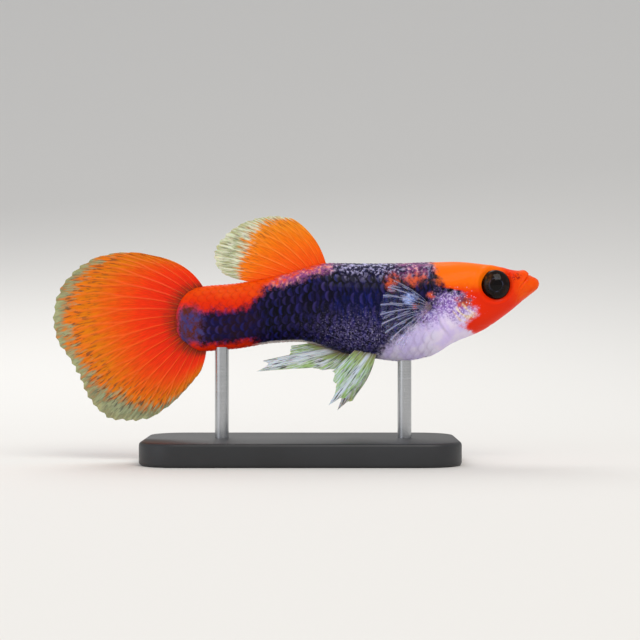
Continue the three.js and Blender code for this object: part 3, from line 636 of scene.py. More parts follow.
# %% Body material
def body_material(name, on_scales):
    """Guppy skin: layers of two shades each, laid over each other by the masks."""
    material, tree = new_material(name)
    pattern = pigment_patterns(tree)
    patchy, upright, broad, fine = (pattern[key] for key in ("patchy", "upright", "broad", "fine"))
    masks, fourth = broken_masks(tree, pattern["shift"])
    orange, indigo, pearl = masks["coats"]
    lilac, gold, red = masks["gleams"]
    azure_and_glint, rose, royal = masks["lights"]
    freckled, keel_rim_light, mottled = masks["marks"]
    silver = add(tree, "Math", {0: fourth["coats"], 1: pattern["wander"]}, operation="MULTIPLY")
    silver = add(tree, "MapRange", {"Value": silver, "From Min": 0.12, "From Max": 0.6}, **SOFT)

    # the dark ground, and pigment that lies under the crescents
    colour = add(tree, "Mix", {"Factor": broad, "A": "#030209", "B": "#09061C"}, **COLOUR)
    colour = add(tree, "Mix", {"Factor": upright, "A": colour, "B": "#181244"}, **COLOUR)
    colour = lay_over(tree, colour, (
        (royal, upright, "#060A34", "#101A68"),
        (indigo, patchy, "#240E1E", "#120B40"),
        (mottled, patchy, "#642818", "#463E78"),
    ))
    edge, height = 0.0, pattern["grain"]
    if on_scales:
        colour, edge, height = scale_crescents(tree, colour, broad, pattern["grain"])
    # bright layers hide the crescents
    colour = lay_over(tree, colour, (
        (silver, upright, "#1C183C", "#D0C8F4"),
        # pale blue, with a small painted cyan glint in it
        (azure_and_glint, patchy, "#3A4CA0", "#B4C6F8"),
        (rose, upright, "#98528E", "#F4A098"),
        (pearl, broad, "#E2D0FF", "#F1E4FF"),
        (lilac, fine, "#8660B8", "#DCC8F6"),
        (red, patchy, "#84302A", "#DC5630"),
        (gold, fine, "#EBC88A", "#FFF8E2"),
        # painted rim light along the keel
        (keel_rim_light, fine, "#D8C4C0", "#FFF2EE"),
    ))
    # free edges of scales stay a little darker, then orange, pale dust and sparks lie on top
    net = add(tree, "Math", {0: edge, 1: 0.5}, operation="MULTIPLY")
    ember = ember_orange(tree, pattern, fourth["lights"], edge, freckled)
    dust = add(tree, "Math", {0: fine, 1: fourth["gleams"]}, operation="MULTIPLY")
    dust = add(tree, "Math", {0: dust, 1: 0.7}, operation="MULTIPLY")
    spark = guanine_sparks(tree, pattern["place"], fourth["gleams"], lilac)
    for mask, shade in ((net, "#1A1230"), (orange, ember), (dust, "#7C72AC"), (spark, "#DCD4FA")):
        colour = add(tree, "Mix", {"Factor": mask, "A": colour, "B": shade}, **COLOUR)
    metal = add(tree, "Math", {0: spark, 1: 0.5}, operation="MULTIPLY")
    bump = add(tree, "Bump", {"Height": height, "Strength": 0.2, "Distance": 0.03 * MM})
    surface = add(tree, "BsdfPrincipled", {
        "Base Color": colour, "Metallic": metal, "Roughness": 0.45, "IOR": 1.36,
        "Specular IOR Level": 0.12, "Normal": bump, "Subsurface Weight": 0.15,
        "Subsurface Radius": FLESH_SCATTER, "Subsurface Scale": 1.0, **SLIME_COAT,
    })
    return finish_material(material, surface)


# bare wet skin on the head, and clear scale over pigment on the rest
SKIN = body_material("slime_wet_fish_skin", on_scales=False)
SCALE = body_material("clear_fish_scale_over_pigment", on_scales=True)

# %% [markdown]
# ## One skin
# The skin is one closed surface from snout to the end of the tail stalk. Four pieces, as in the
# CAD, would show their joints, and a real fish has no seams, so it stands for all four at once.
# Rings lie closer together on the head, where the lips and the eye's rim need them, and the two
# ends close in a single point.

# %% Places and directions on the skin
ROUND = 160  # points in a ring
HEAD_RINGS, TRUNK_RINGS, END_RINGS = 190, 215, 26
HEAD_SPAN, END_SPAN = 9.2, 1.4  # lengths along X that the first and the last of these cover


def surface_normals(x, angle):
    """Outward normals of the plain body: the cross product of its slopes round and along it."""
    nudge = 0.004
    along = body_surface(x + nudge, angle) - body_surface(x - nudge, angle)
    around = body_surface(x, angle + nudge) - body_surface(x, angle - nudge)
    normal = np.cross(around, along)
    return normal / np.maximum(np.linalg.norm(normal, axis=-1, keepdims=True), 1e-12)


def ring_places():
    """X of each ring: close at the snout and opening out, even on the trunk, closing in again."""
    quarter = np.linspace(0, math.pi / 2, HEAD_RINGS + 1)[1:]
    head = SNOUT_X - HEAD_SPAN * (1 - np.cos(quarter))
    trunk = np.linspace(head[-1], STALK_END_X + END_SPAN, TRUNK_RINGS + 1)[1:]
    quarter = np.linspace(math.pi / 2, 0, END_RINGS + 1)[1:-1]
    end = STALK_END_X + END_SPAN * (1 - np.cos(quarter))
    return np.concatenate([head, trunk, end])


# %% Skin
def make_skin():
    """Rings of the body surface pushed out by the relief, with a point at both ends."""
    x = ring_places()[:, None] + np.zeros((1, ROUND))
    angle = np.linspace(0, 2 * math.pi, ROUND, endpoint=False)[None, :] + 0 * x
    plain = body_surface(x, angle)
    points = plain + surface_normals(x, angle) * relief(plain)[..., None]
    faces = [face for part in capped_rings(len(points), ROUND) for face in part[:, ::-1].tolist()]
    poles = [[end, 0, outline(end)[0]] for end in (SNOUT_X, STALK_END_X)]
    points = np.concatenate([points.reshape(-1, 3), poles])
    return put_mesh("skin", points, faces, SKIN, markings(points), sharp=80.0)


skin = make_skin()
settle(skin, "body_skin", "head", "lower_jaw", "trunk", "tail_stalk")

# %% [markdown]
# ## Scales
# Scales overlap like roof tiles, each row half a step behind its neighbours, with the free edge
# towards the tail. A texture alone would look painted, and a copy of one flat plate wouldn't follow
# the body. So each scale is a thin closed plate of a few dozen faces worked out on the body itself,
# sunk at its root and lifted at its free edge, by a twentieth of a millimetre each. A grid of plate
# points is worked out for all the scales at once.

# %% Sizes of the scales
SCALE_COLUMNS, SCALE_ROWS = 30, 24
SCALE_FROM_X, SCALE_TO_X = 12.2, -9.5
PLATE_ACROSS, PLATE_ALONG = 7, 5
PLATE_LENGTH = 1.5  # in steps along the body, so half a step lies under the next scale
PLATE_HALF_WIDTH = 0.66  # in steps round the body
ROOT_AHEAD = 0.55  # how far a root lies before the plate's place, in steps along the body
ROOT_SINK, EDGE_LIFT, SIDE_DROP = 0.05, 0.06, 0.035
PLATE_DEPTH = 0.07  # from the plate's middle down to the point that closes it below
PLACE_JITTER, TURN_JITTER = 0.02, 0.008  # spread of the roots along X, in mm, and round the body
PATCH, UV_MARGIN = 0.003, 0.002  # breadth of a scale's patch in the UV map, and the map's free rim
BODY_END_X = STALK_END_X + 0.3  # no plate reaches past it
STEP = (SCALE_FROM_X - SCALE_TO_X) / SCALE_COLUMNS
TURN = 2 * math.pi / SCALE_ROWS
print(SCALE_COLUMNS * SCALE_ROWS, "scales,", round(STEP, 2), "mm apart along the body")


# %% Faces and patches of the plates
def plate_faces(count):
    """Faces of all plates: quads over a plate's grid, and a fan from its rim to the last point."""
    per_plate = PLATE_ALONG * PLATE_ACROSS + 1
    index = np.arange(PLATE_ALONG * PLATE_ACROSS).reshape(PLATE_ALONG, PLATE_ACROSS)
    rim = np.concatenate([index[0, :-1], index[:-1, -1], index[-1, :0:-1], index[:0:-1, 0]])
    fan = np.stack([np.full(len(rim), per_plate - 1), np.roll(rim, -1), rim], axis=-1)
    start = np.arange(count)[:, None, None] * per_plate
    faces = []
    for part in (grid_faces(PLATE_ALONG, PLATE_ACROSS), fan):
        faces += (part[None] + start).reshape(-1, part.shape[1])[:, ::-1].tolist()
    return faces


def plate_patches(root_x, centre, along, half):
    """UV of the plates' points: each plate is a small patch at its root's place on the unrolled
    body."""
    root = [(SNOUT_X - root_x) / (SNOUT_X - STALK_END_X), centre / (2 * math.pi)]
    patch = np.stack([along - 0.5, half + 0 * along], axis=-1) * PATCH
    return UV_MARGIN + (1 - 2 * UV_MARGIN) * np.stack(root, axis=-1).reshape(-1, 1, 2) + patch


# %% Scales
def make_scales():
    """Plates on the body: across runs from -1 to 1 and along from root 0 to free edge 1. The free
    edge is rounded by a fifth of the length at its corners, and the root is narrower."""
    rng = np.random.default_rng(7)
    column, row = np.meshgrid(np.arange(SCALE_COLUMNS), np.arange(SCALE_ROWS), indexing="ij")
    root_x = SCALE_FROM_X - STEP * (column + 0.5 * (row % 2)) + rng.normal(0, PLACE_JITTER, column.shape)
    centre = TURN * (row + 0.5) + rng.normal(0, TURN_JITTER, column.shape)
    count = column.size
    across = np.linspace(-1, 1, PLATE_ACROSS)[None, None, :]
    along = np.linspace(0, 1, PLATE_ALONG)[None, :, None]
    width = PLATE_HALF_WIDTH * (0.7 + 0.3 * np.sin(math.pi * np.clip(along + 0.1, 0, 1)))
    reach = along * (1 - 0.2 * across**2)
    x = root_x.reshape(-1, 1, 1) + STEP * (ROOT_AHEAD - PLATE_LENGTH * reach)
    angle = centre.reshape(-1, 1, 1) + TURN * width * across + 0 * x
    x = np.clip(x + 0 * angle, BODY_END_X, SCALE_FROM_X + STEP)
    plain = body_surface(x, angle)
    normal = surface_normals(x, angle)
    # a plate lifts less and less over the last 1.5 mm of the stalk
    fade = smooth((x - BODY_END_X) / 1.5)
    lift = -ROOT_SINK + (ROOT_SINK + EDGE_LIFT * fade) * along - SIDE_DROP * across**2
    points = plain + normal * (lift + relief(plain))[..., None]
    middle = (slice(None), slice(PLATE_ALONG // 2, PLATE_ALONG // 2 + 1), PLATE_ACROSS // 2)
    under = points[middle] - PLATE_DEPTH * normal[middle]
    points = np.concatenate([points.reshape(count, -1, 3), under], axis=1)
    # what the material reads: how far across and along the plate, and the plate's own lot
    across, along = ((value + 0 * reach).ravel() for value in (across, along))
    plate = np.zeros(points.shape)
    plate[:, :-1, 0] = np.abs(across)
    plate[:, :, 1] = np.append(along, 0.5)
    plate[:, :, 2] = rng.random((count, 1))
    uv = plate_patches(root_x, centre, plate[..., 1], np.append(across, 0.0) / 2)
    points = points.reshape(-1, 3)
    attributes = {**markings(points), "plate": plate.reshape(-1, 3)}
    return put_mesh("scales", points, plate_faces(count), SCALE, attributes, uv=uv.reshape(-1, 2))


scales = make_scales()
settle(scales, "body_skin")

# %% [markdown]
# ## Eyes
# A fish eye has no lids. A round lens fills the pupil, the iris round it is dark brown with a thin
# blue-grey ring, and the clear cornea stands a third of a millimetre out of the skin. The eyeball is
# a surface of revolution about the line across the head: a profile of radius against depth, turned
# in 64 steps. A cornea of its own could lie over it, but a film this thin shows only its gloss, so
# it is drawn as a smooth clear coat on the iris.

# %% Eye material
EYE_SIDES = 64
AMBER_SPOT = ((1.0, (-0.6, 0.45), (0.3, 0.3)),)  # height, centre and radii, in radii of the eye
EYE_RINGS = (  # share of the eye's radius, colour
    (0.0, "#010102"), (0.44, "#020204"), (0.48, "#343A50"), (0.53, "#241C22"), (0.6, "#160A06"),
    (0.8, "#2A1206"), (0.9, "#140604"), (1.0, "#070303"),
)


def eye_material():
    """Pupil, rings and iris by distance from the eye's axis, with an amber hint in the iris."""
    material, tree = new_material("wet_iris_and_pupil")
    disc = add(tree, "Attribute", attribute_name="disc").outputs["Vector"]
    radius, upper_rear, _ = add(tree, "SeparateXYZ", {"Vector": disc}).outputs
    place = add(tree, "TexCoord").outputs["Object"]
    flaws = add(tree, "TexNoise", {"Vector": place, "Scale": scale_of(0.3), "Detail": 4.0})
    moved = add(tree, "Math", {0: flaws, 1: 0.09, 2: radius}, operation="MULTIPLY_ADD")
    rings = add(tree, "ValToRGB", {"Fac": moved})
    set_stops(rings, EYE_RINGS)
    amber = add(tree, "Math", {0: flaws, 1: upper_rear}, operation="MULTIPLY")
    colour = add(tree, "Mix", {"Factor": amber, "A": rings, "B": "#8A5410"}, **COLOUR)
    # pigment covers parts of the ring, so it looks broken
    covered = {"Value": flaws, "From Min": 0.38, "From Max": 0.52, "To Max": 0.85}
    covered = add(tree, "MapRange", covered, **SOFT)
    colour = add(tree, "Mix", {"Factor": covered, "A": colour, "B": "#0C0504"}, **COLOUR)
    surface = add(tree, "BsdfPrincipled", {
        "Base Color": colour, "Roughness": 0.5, "Specular IOR Level": 0.0,
        "Coat Weight": 0.6, "Coat Roughness": 0.03, "Coat IOR": 1.34,
    })
    return finish_material(material, surface)


IRIS = eye_material()


# %% Eyeballs
LENS_SWELL, LENS_WIDTH = 0.04, 0.5  # how far the front swells over the lens, in mm


def eye_profile():
    """Radius and depth of a flattened ball, from front to back: sine and cosine of a lean from 0
    to 180 degrees, with a low bell over the lens."""
    lean = np.linspace(0, math.pi, 41)
    radius = EYE_RADIUS * np.sin(lean)
    swell = LENS_SWELL * hill(radius, LENS_WIDTH) * (lean < math.pi / 2)
    return radius, EYE_DEPTH * np.cos(lean) + swell


def make_eye(side, word):
    """The profile turned about the eye's axis, with a point to close each end."""
    radius, depth = eye_profile()
    turn = np.linspace(0, 2 * math.pi, EYE_SIDES, endpoint=False)
    inner = radius[1:-1, None]
    y = side * (side_at(EYE_X, EYE_Z) + EYE_PROUD - EYE_DEPTH + depth)
    ring = [EYE_X + inner * np.cos(turn), y[1:-1, None] + 0 * turn, EYE_Z + inner * np.sin(turn)]
    poles = [[EYE_X, y[end], EYE_Z] for end in (0, -1)]
    points = np.concatenate([np.stack(ring, axis=-1).reshape(-1, 3), poles])
    faces = capped_rings(len(inner), EYE_SIDES)
    faces = [face for part in faces for face in (part if side < 0 else part[:, ::-1]).tolist()]
    off_x, off_z = (points[:, 0] - EYE_X) / EYE_RADIUS, (points[:, 2] - EYE_Z) / EYE_RADIUS
    disc = [np.hypot(off_x, off_z), patches_at(off_x, off_z, AMBER_SPOT), 0 * off_x]
    eyeball = put_mesh("eyeball_" + word, points, faces, IRIS, {"disc": np.stack(disc, axis=-1)})
    settle(eyeball, "eye", "eye_" + word)


SIDES = ((-1, "right"), (1, "left"))
for side, word in SIDES:
    make_eye(side, word)

# %% [markdown]
# ## Fins
# A guppy's fin is a clear membrane held open by bony rays that fork towards the edge. Each one is
# a thin closed sheet whose grid runs along the rays: every ray is a curve from root to tip, the
# columns between two rays blend their curves, and the sheet swells over each ray and its branches.
# The edge falls back a little between branch tips, which gives the scallops. Solidify on a flat
# outline would give the outline but no rays, so the thickness is worked out point by point.

# %% Rays
MEMBRANE, RAY_HEIGHT = 0.1, 0.11  # thickness of the sheet, and what a ray adds to it
RIDGE_WIDTH, RIDGE_WIDENS = 0.065, 0.02  # in ray spacings: at the root, and more at the edge
FORK_AT, FORK_SPREAD = 0.42, 0.25  # reach at which a ray forks, and how far its branches part
TWIG_AT, TWIG_SPREAD = 0.74, 0.1  # the same where a branch forks again


def ray_table(roots, tips, bulges):
    """Root, control point and tip of each ray. The ray's middle bulges to the right of its line, as
    seen from the root, and a quadratic curve passes half as far off its line as its control point."""
    roots, tips, bulges = (np.asarray(a, float) for a in (roots, tips, bulges))
    line = tips - roots
    aside = np.stack([line[:, 1], -line[:, 0]], axis=-1)
    aside /= np.linalg.norm(aside, axis=1, keepdims=True)
    return np.stack([roots, roots + line / 2 + aside * 2 * bulges[:, None], tips], axis=1)


# %% Grid of a fin
def fin_grid(rays, per_ray, rows, forks, notch, jitter, seed):
    """Points of a fin in its own plane, with fan (ray number), reach (0 root to 1 edge), crest
    (height of the ray ridges, 0 to 1) and how far each point is from its root in mm. The edge
    falls back by notch between rays or branches, and by up to jitter at random."""
    fan = np.linspace(0, len(rays) - 1, (len(rays) - 1) * per_ray + 1)[:, None]
    reach = np.linspace(0, 1, rows)[None, :]
    k = np.clip(fan.astype(int), 0, len(rays) - 2)
    t = (fan - k)[..., None]
    curve = rays[k[:, 0]] * (1 - t) + rays[k[:, 0] + 1] * t
    root, control, tip = (curve[:, None, i, :] for i in range(3))
    length = np.linalg.norm(tip - root, axis=-1)
    off_ray = np.abs(fan - np.round(fan)) * 2
    lobes = np.abs(off_ray - 0.5) * 2 if forks else off_ray
    rng = np.random.default_rng(seed)
    ragged = np.interp(fan, np.linspace(0, len(rays) - 1, len(rays) * 5), rng.random(len(rays) * 5))
    end = 1 - (notch * lobes + jitter * ragged) / length
    s = (reach * end)[..., None]
    plane = root * (1 - s) ** 2 + control * 2 * s * (1 - s) + tip * s**2
    spread = FORK_SPREAD * smooth((reach - FORK_AT) / 0.25) * forks
    twig = TWIG_SPREAD * smooth((reach - TWIG_AT) / 0.15) * forks
    narrow = RIDGE_WIDTH + RIDGE_WIDENS * reach
    crest = np.zeros(np.broadcast(fan, reach).shape)
    for way in (-1, 1):
        for small in (-1, 1):
            centre = np.round(fan) + way * spread + small * twig
            crest = np.maximum(crest, hill(fan - centre, narrow))
    return plane, fan + 0 * reach, reach + 0 * fan, crest, s[..., 0] * length


# %% From a fin's grid to a closed sheet
SUNK = 0.55  # how far a fin's first row lies inside the body
EDGE_THINS, THINS_FROM = 0.55, 0.85  # share of the thickness lost at the edge, and where it sets in
ROOT_FADE = 0.6  # mm over which a fin's swollen root thins out


def closed_sheet(x, y, z, thick):
    """Points and faces of a grid given two sides, half the thickness from the middle surface,
    and a rim of walls that joins them. A negative volume means that the faces point inwards."""
    columns, rows = x.shape
    size = columns * rows
    points = np.concatenate([
        np.stack([x, y + way * thick / 2, z], axis=-1).reshape(-1, 3) for way in (-1, 1)
    ])
    quads = grid_faces(columns, rows)
    index = np.arange(size).reshape(columns, rows)
    rim = np.concatenate([index[:-1, 0], index[-1, :-1], index[:0:-1, -1], index[0, :0:-1]])
    after = np.roll(rim, -1)
    walls = np.stack([rim, after, after + size, rim + size], axis=-1)
    faces = np.concatenate([quads[:, ::-1], quads + size, walls])
    a, b, c, d = (points[faces[:, corner]] for corner in range(4))
    volume = (a * np.cross(b, c)).sum() + (a * np.cross(c, d)).sum()
    return points, faces if volume > 0 else faces[:, ::-1]


def dusk_at(reach, past, dark_root):
    """Where dark streaks may show, in shares of a ray's length: from 0.32 before the border on,
    fading out over the last fifth and, as strong as dark_root, over the first sixth."""
    outer = smooth((past + 0.32) / 0.3) * smooth((1.06 - reach) / 0.2)
    return np.maximum(outer, dark_root * smooth((0.16 - reach) / 0.1))


# %% Fin sheet
def fin_sheet(name, material, grid, middle, root_swell, border, dark_root=0.0, band=None):
    """Close a fin, with its first row moved into the body along the rays. The border's rows give
    the reach at which it starts for shares across the fan. A band is a ray number and a half
    width in rays."""
    plane, *others = grid
    step = plane[:, 1:2] - plane[:, :1]
    inside = plane[:, :1] - step / np.linalg.norm(step, axis=-1, keepdims=True) * SUNK
    x, z = np.moveaxis(np.concatenate([inside, plane], axis=1), -1, 0)
    fan, reach, crest, along = (np.concatenate([v[:, :1], v], axis=1) for v in others)
    taper = 1 - EDGE_THINS * smooth((reach - THINS_FROM) / (1 - THINS_FROM))
    thick = (MEMBRANE + RAY_HEIGHT * crest) * taper + root_swell * np.exp(-along / ROOT_FADE)
    points, faces = closed_sheet(x, middle(x, z, along), z, thick)
    past = reach - np.interp(fan / fan.max(), *np.array(border).T)
    lay = np.stack([past, reach, crest], axis=-1).reshape(-1, 3)
    lines = np.stack([fan, along, dusk_at(reach, past, dark_root)], axis=-1).reshape(-1, 3)
    attributes = {"lay": np.tile(lay, (2, 1)), "lines": np.tile(lines, (2, 1))}
    if band:
        bright = smooth(1.5 - np.abs(fan - band[0]) / band[1]) * smooth(reach / 0.12)
        attributes["band"] = np.tile(bright.reshape(-1, 1), (2, 1))
    return put_mesh(name, points, faces.tolist(), material, attributes, sharp=70.0)


# %% [markdown]
# ## Fin finishes
# The membrane is clear. Its colour is pigment laid between and along the rays, so the pattern reads
# what the mesh stores: how far along its ray a point lies, how far past the border's start, and how
# high the ray's ridge is. A pattern on Object coordinates would cut across the rays instead. Orange
# runs out in ragged streaks into a pale, partly see-through border, with dark streaks along the
# rays. A fin glows because light crosses it, so some light passes under its surface.

# %% Patterns along the rays
FIN_SCATTER = (0.5 * MM, 0.25 * MM, 0.12 * MM)
RAGGED = 0.17  # how far the streaks move the border, as a share of a ray's length, at most


def ray_patterns(tree, lines, dash):
    """Streaks that run along the rays, a fifth of a ray's spacing wide and more than a millimetre
    long, and shorter dashes: dash says how many fit across a spacing and along a millimetre."""
    laid = add(tree, "Mapping", {"Vector": lines, "Scale": (5.0, 0.8, 0.0)})
    streaks = add(tree, "TexNoise", {"Vector": laid, "Scale": 1.0, "Detail": 4.0, "Roughness": 0.6})
    short = add(tree, "Mapping", {"Vector": lines, "Scale": (*dash, 0.0), "Location": (9.0, 4.0, 2.0)})
    dashes = add(tree, "TexNoise", {"Vector": short, "Scale": 1.0, "Detail": 3.0})
    swing = {"Value": streaks, "From Min": 0.2, "From Max": 0.8, "To Min": -RAGGED, "To Max": RAGGED}
    return streaks, dashes, add(tree, "MapRange", swing)


# %% Fin material
def fin_material(name, stops, border, ray, border_ray, streak, ray_share, clear, streak_share, dash):
    """Streaked fin membrane. The stops give its colour from root to edge, then comes the border,
    clear by a share; ray and border_ray are the rays' colours, and streak that of the dark
    streaks. The shares say how strongly rays and dark streaks show."""
    material, tree = new_material(name)
    lay = add(tree, "Attribute", attribute_name="lay").outputs["Vector"]
    past, reach, crest = add(tree, "SeparateXYZ", {"Vector": lay}).outputs
    lines = add(tree, "Attribute", attribute_name="lines").outputs["Vector"]
    dusk = add(tree, "SeparateXYZ", {"Vector": lines}).outputs[2]
    streaks, dashes, swing = ray_patterns(tree, lines, dash)

    # the border starts at a ragged line, and the stops are swung by half as much
    ragged = add(tree, "Math", {0: past, 1: swing}, operation="ADD")
    bordering = add(tree, "MapRange", {"Value": ragged, "From Min": -0.07, "From Max": 0.09}, **SOFT)
    drawn = add(tree, "Math", {0: swing, 1: 0.5, 2: reach}, operation="MULTIPLY_ADD")
    pigment = add(tree, "ValToRGB", {"Fac": drawn})
    set_stops(pigment, stops)
    ripple = add(tree, "MapRange", {"Value": dashes, "From Min": 0.35, "From Max": 0.7, "To Max": 0.3})
    lines_apart = add(tree, "MapRange", {"Value": streaks, "From Min": 0.42, "From Max": 0.62}, **SOFT)
    pale = add(tree, "Mix", {"Factor": lines_apart, "A": border, "B": border_ray}, **COLOUR)
    ray_shade = add(tree, "Mix", {"Factor": bordering, "A": ray, "B": border_ray}, **COLOUR)
    ridge = add(tree, "Math", {0: crest, 1: ray_share}, operation="MULTIPLY")
    # a bright band of rays, where the mesh has one, is as opaque as a ray
    band = add(tree, "Attribute", attribute_name="band").outputs["Fac"]
    band = add(tree, "Math", {0: band, 1: 0.85}, operation="MULTIPLY")
    dark = {"Value": dashes, "From Min": 0.54, "From Max": 0.62, "To Max": streak_share}
    dark = add(tree, "MapRange", dark, **SOFT)
    dark = add(tree, "Math", {0: dark, 1: dusk}, operation="MULTIPLY")
    colour = pigment
    for share, shade in (
        (ripple, "#8C2A04"), (bordering, pale), (ridge, ray_shade), (band, border_ray), (dark, streak),
    ):
        colour = add(tree, "Mix", {"Factor": share, "A": colour, "B": shade}, **COLOUR)

    # the border is clear except where a ray, a dark streak or the band lies
    solid = add(tree, "MapRange", {"Value": bordering, "To Min": 1.0, "To Max": 1.0 - clear})
    for share in (ridge, dark, band):
        solid = add(tree, "Math", {0: solid, 1: share}, operation="MAXIMUM")
    height = add(tree, "Math", {0: streaks, 1: crest}, operation="ADD")
    bump = add(tree, "Bump", {"Height": height, "Strength": 0.25, "Distance": 0.04 * MM})
    surface = add(tree, "BsdfPrincipled", {
        "Base Color": colour, "Alpha": solid, "Roughness": 0.45, "Specular IOR Level": 0.12,
        "Normal": bump, "Subsurface Weight": 0.4, "Subsurface Radius": FIN_SCATTER,
        "Subsurface Scale": 1.0, "Coat Weight": 0.08, "Coat Roughness": 0.2,
    })
    return finish_material(material, surface)


# %% The four fin finishes
# red at the root, orange further out, and a grey-green border that is only a little clear
TAIL_FIN = fin_material(
    "orange_tail_membrane",
    (
        (0.0, "#8A2408"), (0.06, "#BE2604"), (0.13, "#EA2600"), (0.32, "#F83600"), (0.5, "#F25600"),
        (0.74, "#DE8000"),
    ),
    border="#7C8860", ray="#FF7428", border_ray="#A2AE82", streak="#33382E",
    ray_share=0.4, clear=0.2, streak_share=0.65, dash=(9.0, 1.2),
)
# yellower orange, and a pale green border with whitish rays
BACK_FIN = fin_material(
    "orange_dorsal_membrane",
    ((0.0, "#FA5400"), (0.25, "#FF6A00"), (0.5, "#FC8000"), (0.75, "#F49414")),
    border="#A6B286", ray="#FF9830", border_ray="#E2E8D2", streak="#4A4630",
    ray_share=0.35, clear=0.15, streak_share=0.5, dash=(9.0, 1.2),
)
# fresh green with blue-white rays
PALE_FIN = fin_material(
    "pale_green_membrane",
    ((0.0, "#6E5A58"), (0.16, "#98B072"), (0.5, "#A0CC7A"), (1.0, "#B4D892")),
    border="#9CC874", ray="#DCE6F0", border_ray="#DCE7F6", streak="#1C2230",
    ray_share=0.5, clear=0.3, streak_share=0.9, dash=(6.0, 0.7),
)
# no pigment past its root, so nearly all that shows is its rays
SIDE_FIN = fin_material(
    "clear_pectoral_membrane",
    ((0.0, "#D89060"), (0.06, "#E0B8A0"), (0.15, "#C8D0F0"), (1.0, "#C8D0F0")),
    border="#B9C2EC", ray="#E8C890", border_ray="#CFCBEE", streak="#120E2C",
    ray_share=0.38, clear=0.98, streak_share=0.4, dash=(3.0, 0.8),
)

# %% [markdown]
# ## Tail fin
# The tail fin is the largest thing a guppy shows. Its rays leave the round end of the stalk and fan
# out to a broad round margin. One outline drawn by hand would fix the margin but not the rays, so
# the margin is given as a radius at sixteen angles, and each ray ends on it. The sheet waves gently,
# as it does in water.

# %% The tail fin's measures
TAIL_CENTRE = np.array([-7.75, -1.03])
TAIL_ROOT_Z, TAIL_ROOT_RADII = -0.85, (2.45, 2.85)  # the ellipse on which the rays start
TAIL_RAYS = 19
TAIL_WAVE = 0.0035  # swing to the side in mm at 1 mm from the root; it grows with the square
ROOT_ANGLES = (94, 272)
TAIL_MARGIN = np.array([  # angle in degrees, radius in mm
    (127, 7.1), (141, 9.55), (150, 11.1), (158, 12.1), (167, 12.95), (176.5, 13.25), (187, 12.95),
    (197, 12.05), (205, 11.85), (214, 12.15), (223, 12.05), (232, 10.95), (240, 9.75), (249, 7.5),
    (256, 5.8), (264, 4.5),
])
TAIL_BORDER = (
    (0.0, 1.02), (0.1, 1.0), (0.22, 0.9), (0.35, 0.89), (0.5, 0.92), (0.6, 0.88), (0.7, 0.76),
    (0.8, 0.8), (0.9, 0.92), (1.0, 1.0),
)


def unit(angle):
    """Direction at an angle: its cosine and its sine."""
    return np.stack([np.cos(angle), np.sin(angle)], axis=-1)


# %% Tail fin
def make_tail_fin():
    """Rays from an ellipse round the stalk's end, each leaving midway between square to it and
    straight at its tip."""
    share = np.linspace(0, 1, TAIL_RAYS)
    leave = np.radians(ROOT_ANGLES[0] + (ROOT_ANGLES[1] - ROOT_ANGLES[0]) * share)
    aim = TAIL_MARGIN[0, 0] + (TAIL_MARGIN[-1, 0] - TAIL_MARGIN[0, 0]) * share
    radius = along_table(TAIL_MARGIN, 1, aim)
    roots = (TAIL_CENTRE[0], TAIL_ROOT_Z) + np.array(TAIL_ROOT_RADII) * unit(leave)
    tips = TAIL_CENTRE + radius[:, None] * unit(np.radians(aim))
    line = tips - roots
    length = np.linalg.norm(line, axis=1, keepdims=True)
    midway = unit(leave) + line / length
    control = roots + midway / np.linalg.norm(midway, axis=1, keepdims=True) * length / 2
    rays = np.stack([roots, control, tips], axis=1)
    grid = fin_grid(rays, per_ray=20, rows=64, forks=True, notch=0.2, jitter=0.12, seed=3)

    def middle(x, z, along):
        return TAIL_WAVE * along**2 * np.sin(0.62 * z + 0.6)

    return fin_sheet("tail_fin", TAIL_FIN, grid, middle, 0.1, TAIL_BORDER, dark_root=0.6)


tail_fin = make_tail_fin()
settle(tail_fin, "orange_fin", "caudal_fin")

# %% [markdown]
# ## Dorsal and anal fin
# Both stand on the midline. The dorsal fin sweeps back over the stalk, and in a male the anal fin's
# front rays are drawn out to a rod. A margin by angles wouldn't fit fins that lean so far, so here
# each ray is a row of its own: where it leaves the back or belly, where its tip is, and how far its
# middle bulges forward.

# %% Rays of the fins on the midline
DORSAL_RAYS = (  # root along X, tip, forward bulge
    (2.65, -0.35, 7.95, 0.50), (2.15, -1.85, 8.12, 0.50), (1.65, -3.25, 7.95, 0.50),
    (1.10, -4.50, 7.60, 0.45), (0.55, -5.75, 6.80, 0.35), (-0.10, -6.75, 5.75, 0.25),
    (-0.80, -7.05, 4.75, 0.15), (-1.70, -6.85, 3.75, 0.05), (-2.80, -6.20, 3.05, -0.05),
    (-4.00, -5.30, 2.72, 0.00),
)
DORSAL_BORDER = ((0.0, 0.97), (0.15, 0.9), (0.35, 0.84), (0.55, 0.66), (0.75, 0.62), (1.0, 0.6))
ANAL_RAYS = (
    (4.70, 3.30, -5.12, 0.15), (4.35, 2.30, -5.22, 0.15), (4.00, 1.40, -5.00, 0.15),
    (3.70, -3.35, -5.30, 0.10), (3.40, -2.30, -4.70, 0.00), (3.10, -2.90, -4.40, -0.10),
    (2.60, -0.60, -3.95, 0.00), (2.00, -0.50, -3.50, 0.00), (1.30, -0.45, -3.10, 0.00),
)
PALE_BORDER = ((0.0, 0.35), (1.0, 0.35))
ANAL_BAND, PELVIC_BAND = (4.1, 1.1), (2.0, 0.45)  # number of a bright ray, half width in rays


